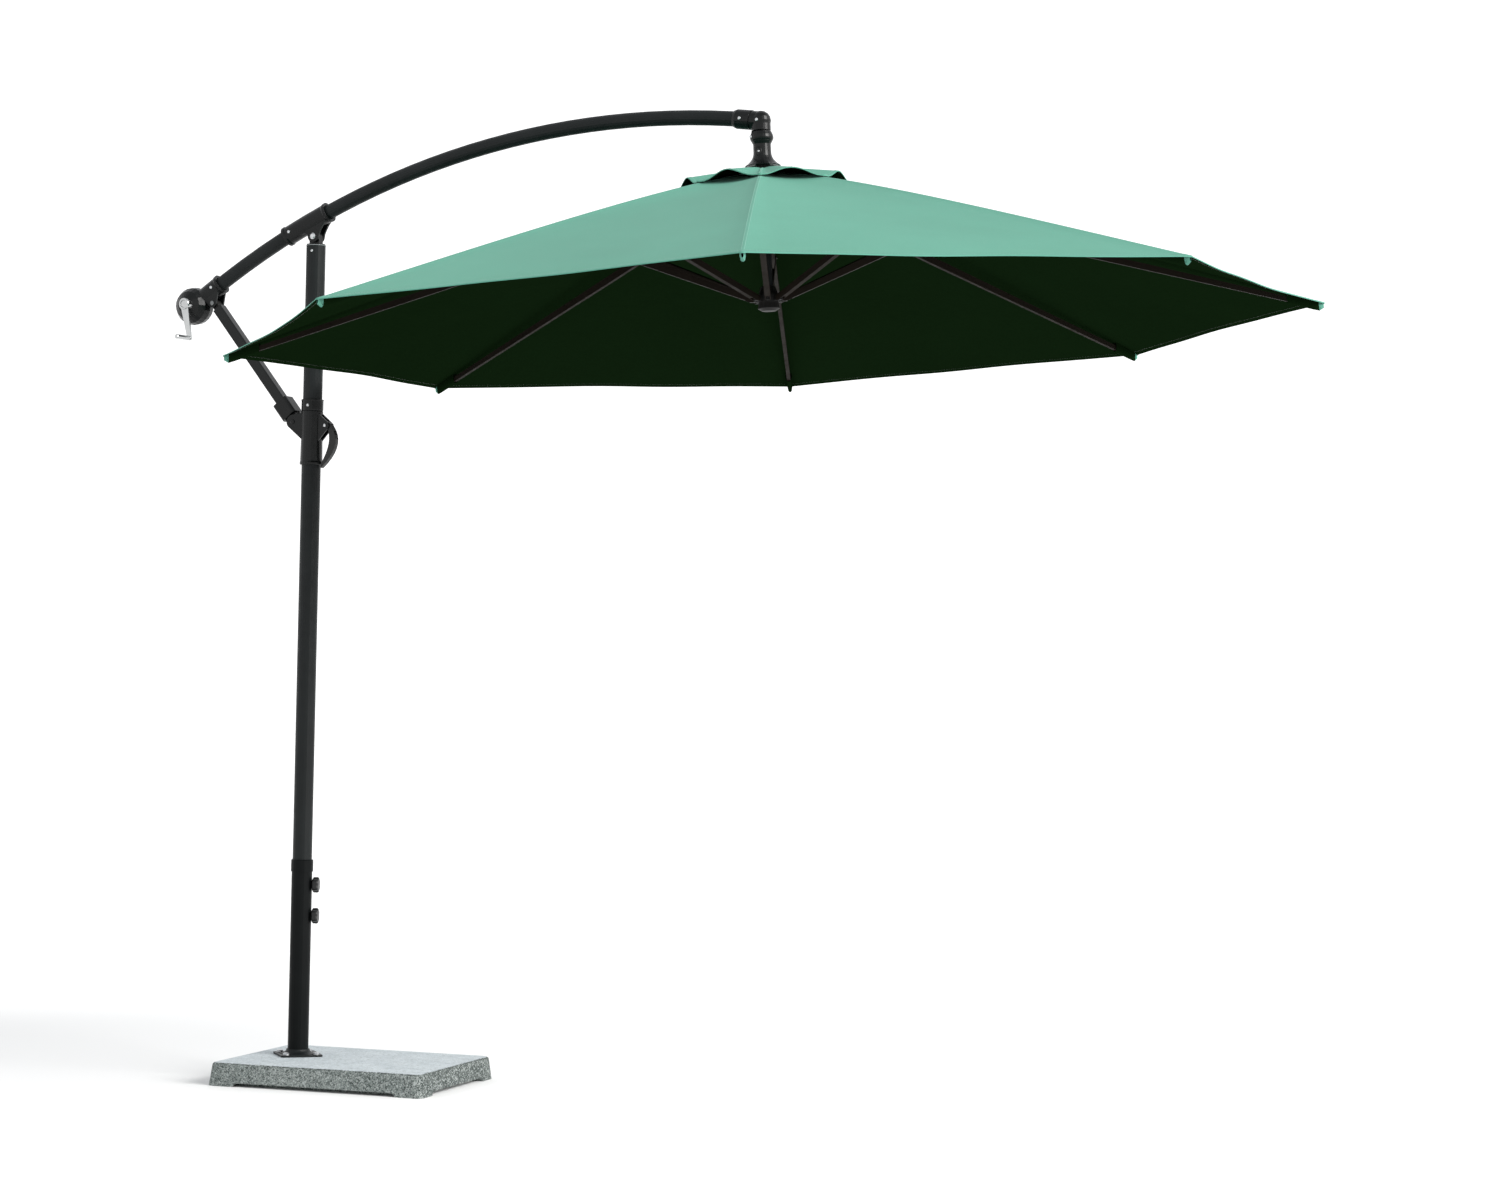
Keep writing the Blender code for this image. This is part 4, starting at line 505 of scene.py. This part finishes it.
def add_pocket(points, faces, slots, surface, rib, outer):
    """The sleeve of cloth that takes the rib's end; its last stretch is in the upper cloth, turned over."""
    rings = []
    for share, half, deep in POCKET_ROWS:
        radius = outer - POCKET_LENGTH + (POCKET_LENGTH - POCKET_END) * share
        ring = []
        for x, y in POCKET_SECTION:
            ring.append(len(points))
            points.append(cloth_spot(surface, rib, x * half / (radius * STEP), radius, -deep * y))
        rings.append(ring)
    for a, b in zip(rings, rings[1:]):
        for i in range(len(a) - 1):
            faces.append([a[i], a[i + 1], b[i + 1], b[i]])
            # The pocket wears the underside's painted shade; its last stretch, turned over, wears the upper cloth's
            # colour.
            slots.append(0 if b is rings[-1] else 1)


def cloth_piece(name, surface, rib, inner, outer, rows, count, thick, seam, hem, pocket):
    """One gore of cloth on its rib: upper and lower faces, ridge seam, turned hem, stitches and the tip's pocket."""
    points, uv, faces, slots, normals = [], [], [], [], []
    fold = outer - hem
    radii = [inner + (outer - inner) * i / rows for i in range(rows)]
    radii = [r for r in radii if r < fold - 0.004] + [fold, fold + 0.0012, outer - hem * 0.5, outer]
    hem_from = len(radii) - 3
    grid_top, grid_low = [], []
    for k, radius in enumerate(radii):
        turns, (first, second) = turns_at(radius, seam, count)
        top_row, low_row = [], []
        for turn in turns:
            raise_by = SEAM_PLY if abs(turn) <= first + 1e-9 else 0.0
            folded = HEM_PLY if k >= hem_from else 0.0
            n = cloth_normal(surface, rib, turn, radius, inner, outer)
            along = (radius * turn * STEP, radius)
            lifts = ((top_row, raise_by + folded, 1.0), (low_row, -thick - folded * 1.5 - raise_by, -1.0))
            for row, lift, way in lifts:
                row.append(len(points))
                points.append(cloth_spot(surface, rib, turn, radius, lift))
                uv.append(along)
                normals.append((n * way, abs(turn) > second + 1e-9 or abs(turn) < 1e-9))
        grid_top.append(top_row)
        grid_low.append(low_row)
    for grid, slot, flip in ((grid_top, 0, False), (grid_low, 1, True)):
        for a, b in zip(grid, grid[1:]):
            for i in range(len(a) - 1):
                quad = [a[i], b[i], b[i + 1], a[i + 1]]
                faces.append(quad[::-1] if flip else quad)
                slots.append(slot)
    smooth = len(faces)
    for top_row, low_row, flip in ((grid_top[-1], grid_low[-1], False), (grid_top[0], grid_low[0], True)):
        start = len(points)
        for a, b in zip(top_row, low_row):
            points += [points[a].copy(), points[b].copy()]
            uv += [uv[a], uv[b]]
        for i in range(len(top_row) - 1):
            quad = [start + 2 * i, start + 2 * i + 1, start + 2 * i + 3, start + 2 * i + 2]
            faces.append(quad[::-1] if flip else quad)
            slots.append(0)
    axis = CANOPY.to_3x3().col[2].normalized()
    for turn_sign in (-1.0, 1.0):           # two rows of stitches beside the ridge
        line = []
        for radius in [inner + 0.03 + (outer - hem - inner - 0.035) * i / 40 for i in range(41)]:
            turn = turn_sign * min(seam * 0.62 / (radius * STEP), 0.07)
            line.append(cloth_spot(surface, rib, turn, radius, 0.0009))
        add_stitches(points, faces, slots, line, [axis] * 40, *STITCH, 2)
    for lift, slot, way in ((0.0007, 2, 1.0), (-thick - 0.0010, 3, -1.0)):
        line = [cloth_spot(surface, rib, -0.5 + i / 48, outer - hem * 0.82, lift) for i in range(49)]
        add_stitches(points, faces, slots, line, [axis * way] * 48, *STITCH, slot)
    if pocket:
        add_pocket(points, faces, slots, surface, rib, outer)
    uv += [(0.0, 0.0)] * (len(points) - len(uv))
    mesh = bpy.data.meshes.new(name)
    mesh.from_pydata([tuple(p) for p in points], [], faces)
    layer = mesh.uv_layers.new(name="cloth")
    for loop in mesh.loops:
        layer.data[loop.index].uv = uv[loop.vertex_index]
    for key in ("top", "under", "thread", "thread_dark"):
        mesh.materials.append(M[key])
    for face, slot in zip(mesh.polygons, slots):
        face.material_index = slot
        face.use_smooth = True
    mesh.update()
    given = []
    for face in mesh.polygons:
        for vertex in face.vertices:
            fixed = face.index < smooth and normals[vertex][1]
            given.append(tuple(normals[vertex][0]) if fixed else (0.0, 0.0, 0.0))
    mesh.normals_split_custom_set(given)
    piece = bpy.data.objects.new(name, mesh)
    bpy.context.collection.objects.link(piece)
    area = sum(f.area for f in mesh.polygons if f.material_index == 0)
    return piece, area


def cloth_set(prefix, node, surface, inner, outer, rows, count, thick, seam, hem, pocket):
    for rib in range(RIBS):
        name = f"{prefix}_{rib + 1}"
        piece, area = cloth_piece(name, surface, rib, inner, outer, rows, count, thick, seam, hem, pocket)
        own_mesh(piece)
        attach(piece, f"rib_{rib + 1}")
        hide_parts(node)


cloth_set("canopy_gore", "canopy_cover", cover_at, COVER_HOLE, TIP_RADIUS, 40, 9, 0.0009, 0.0050, 0.022, True)
cloth_set("vent_gore", "vent_flap", vent_at, VENT_HOLE, VENT_RADIUS, 12, 7, 0.0008, 0.0030, 0.012, False)


# ---- small fittings that the CAD leaves out -----------------------------------------------------------------------
def surface_frame(node, origin, aim):
    """Where a ray from origin to aim meets a CAD node: a frame there, Z out of the surface."""
    piece = NODES[node]
    back = piece.matrix_world.inverted()
    start = back @ Vector(origin)
    way = (back @ Vector(aim) - start).normalized()
    hit, spot, normal, _ = piece.ray_cast(start, way)
    if not hit:
        raise RuntimeError(f"no surface of {node} on that line")
    out = (piece.matrix_world.to_3x3() @ normal).normalized()
    turn = out.to_track_quat("Z", "Y").to_matrix().to_4x4()
    return Matrix.Translation(piece.matrix_world @ spot) @ turn


def turned_mesh(name, place, profile, look, sides=32, wide=1.0, closed=False):
    """A small turned shape: profile is (radius, height) pairs along the frame's Z; wide stretches it along X."""
    points, faces = [], []
    for radius, height in profile:
        for i in range(sides):
            angle = 2.0 * math.pi * i / sides
            points.append(tuple(place @ Vector((radius * wide * math.cos(angle), radius * math.sin(angle), height))))
    rows = len(profile)
    for k in range(rows if closed else rows - 1):
        for i in range(sides):
            j = (i + 1) % sides
            a, b = k * sides, ((k + 1) % rows) * sides
            faces.append((a + i, a + j, b + j, b + i))
    if not closed:
        faces.append(tuple(range(sides - 1, -1, -1)))
        faces.append(tuple((rows - 1) * sides + i for i in range(sides)))
    mesh = bpy.data.meshes.new(name)
    mesh.from_pydata(points, [], faces)
    mesh.materials.append(M[look])
    for face in mesh.polygons:
        face.use_smooth = len(face.vertices) == 4
    piece = bpy.data.objects.new(name, mesh)
    bpy.context.collection.objects.link(piece)
    return piece


def fit_small(piece, node):
    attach(piece, node)


def dome(radius, height):
    """A screw head with a shallow dish in its middle."""
    return [(radius, -0.0008), (radius, height * 0.35), (radius * 0.86, height * 0.8), (radius * 0.55, height),
            (radius * 0.30, height), (radius * 0.22, height * 0.55)]


def mast_fittings():
    """A light ring painted round the mast's top edge as its highlight, and the screw that holds the head plug."""
    ring = [(MAST_RADIUS, MAST_TOP - 0.0012), (MAST_RADIUS + 0.0006, MAST_TOP - 0.0009),
            (MAST_RADIUS + 0.0007, MAST_TOP + 0.0002), (MAST_RADIUS, MAST_TOP + 0.0006)]
    fit_small(turned_mesh("mast_rim", Matrix.Identity(4), ring, "edge", 64, closed=True), "mast")
    azimuth, away, height = math.radians(-83.0), 0.2, MAST_TOP - 0.016
    outside = (away * math.cos(azimuth), away * math.sin(azimuth), height)
    place = surface_frame("mast_tube", outside, (0.0, 0.0, height))
    fit_small(turned_mesh("mast_head_screw", place, dome(0.0036, 0.0020), "zinc", 24), "mast")


def neck_fittings():
    """The oval recess in the canopy's neck, with its small screw."""
    height, radius, narrow = 0.437, 0.0115, 0.72
    place = surface_frame("canopy_neck", CANOPY @ Vector((0.0, -0.2, height)), CANOPY @ Vector((0.0, 0.0, height)))
    rim = [(radius, -0.0020), (radius, 0.0009), (radius * 0.86, 0.0012), (radius * 0.78, 0.0004),
           (radius * 0.78, -0.0020)]
    floor = [(radius * 0.8, -0.0019), (radius * 0.8, 0.0001)]
    fit_small(turned_mesh("neck_recess_rim", place, rim, "casting", 32, narrow, closed=True),
              "canopy_head")
    fit_small(turned_mesh("neck_recess", place, floor, "black", 32, narrow), "canopy_head")
    fit_small(turned_mesh("neck_screw", place, dome(0.0026, 0.0016), "zinc", 20), "canopy_head")


def rib_rivets():
    """The rivets on which the stretchers' forks hold the ribs."""
    head, shank, out = 0.0042, 0.0020, 0.0098
    half = [(head * 0.62, out), (head, out - 0.0006), (head, out - 0.0014), (shank, out - 0.0018)]
    pin = [(radius, -height) for radius, height in half] + half[::-1]
    height = ridge_line(RIVET_RADIUS) - RIB_DROP
    for rib in range(RIBS):
        azimuth = rib_azimuth(rib)
        across = CANOPY.to_3x3() @ Vector((-math.sin(azimuth), math.cos(azimuth), 0.0))
        middle = CANOPY @ Vector((RIVET_RADIUS * math.cos(azimuth), RIVET_RADIUS * math.sin(azimuth), height))
        place = Matrix.Translation(middle) @ across.to_track_quat("Z", "Y").to_matrix().to_4x4()
        fit_small(turned_mesh(f"rib_rivet_{rib + 1}", place, pin, "dull", 16), f"rib_{rib + 1}")


mast_fittings()
neck_fittings()
rib_rivets()
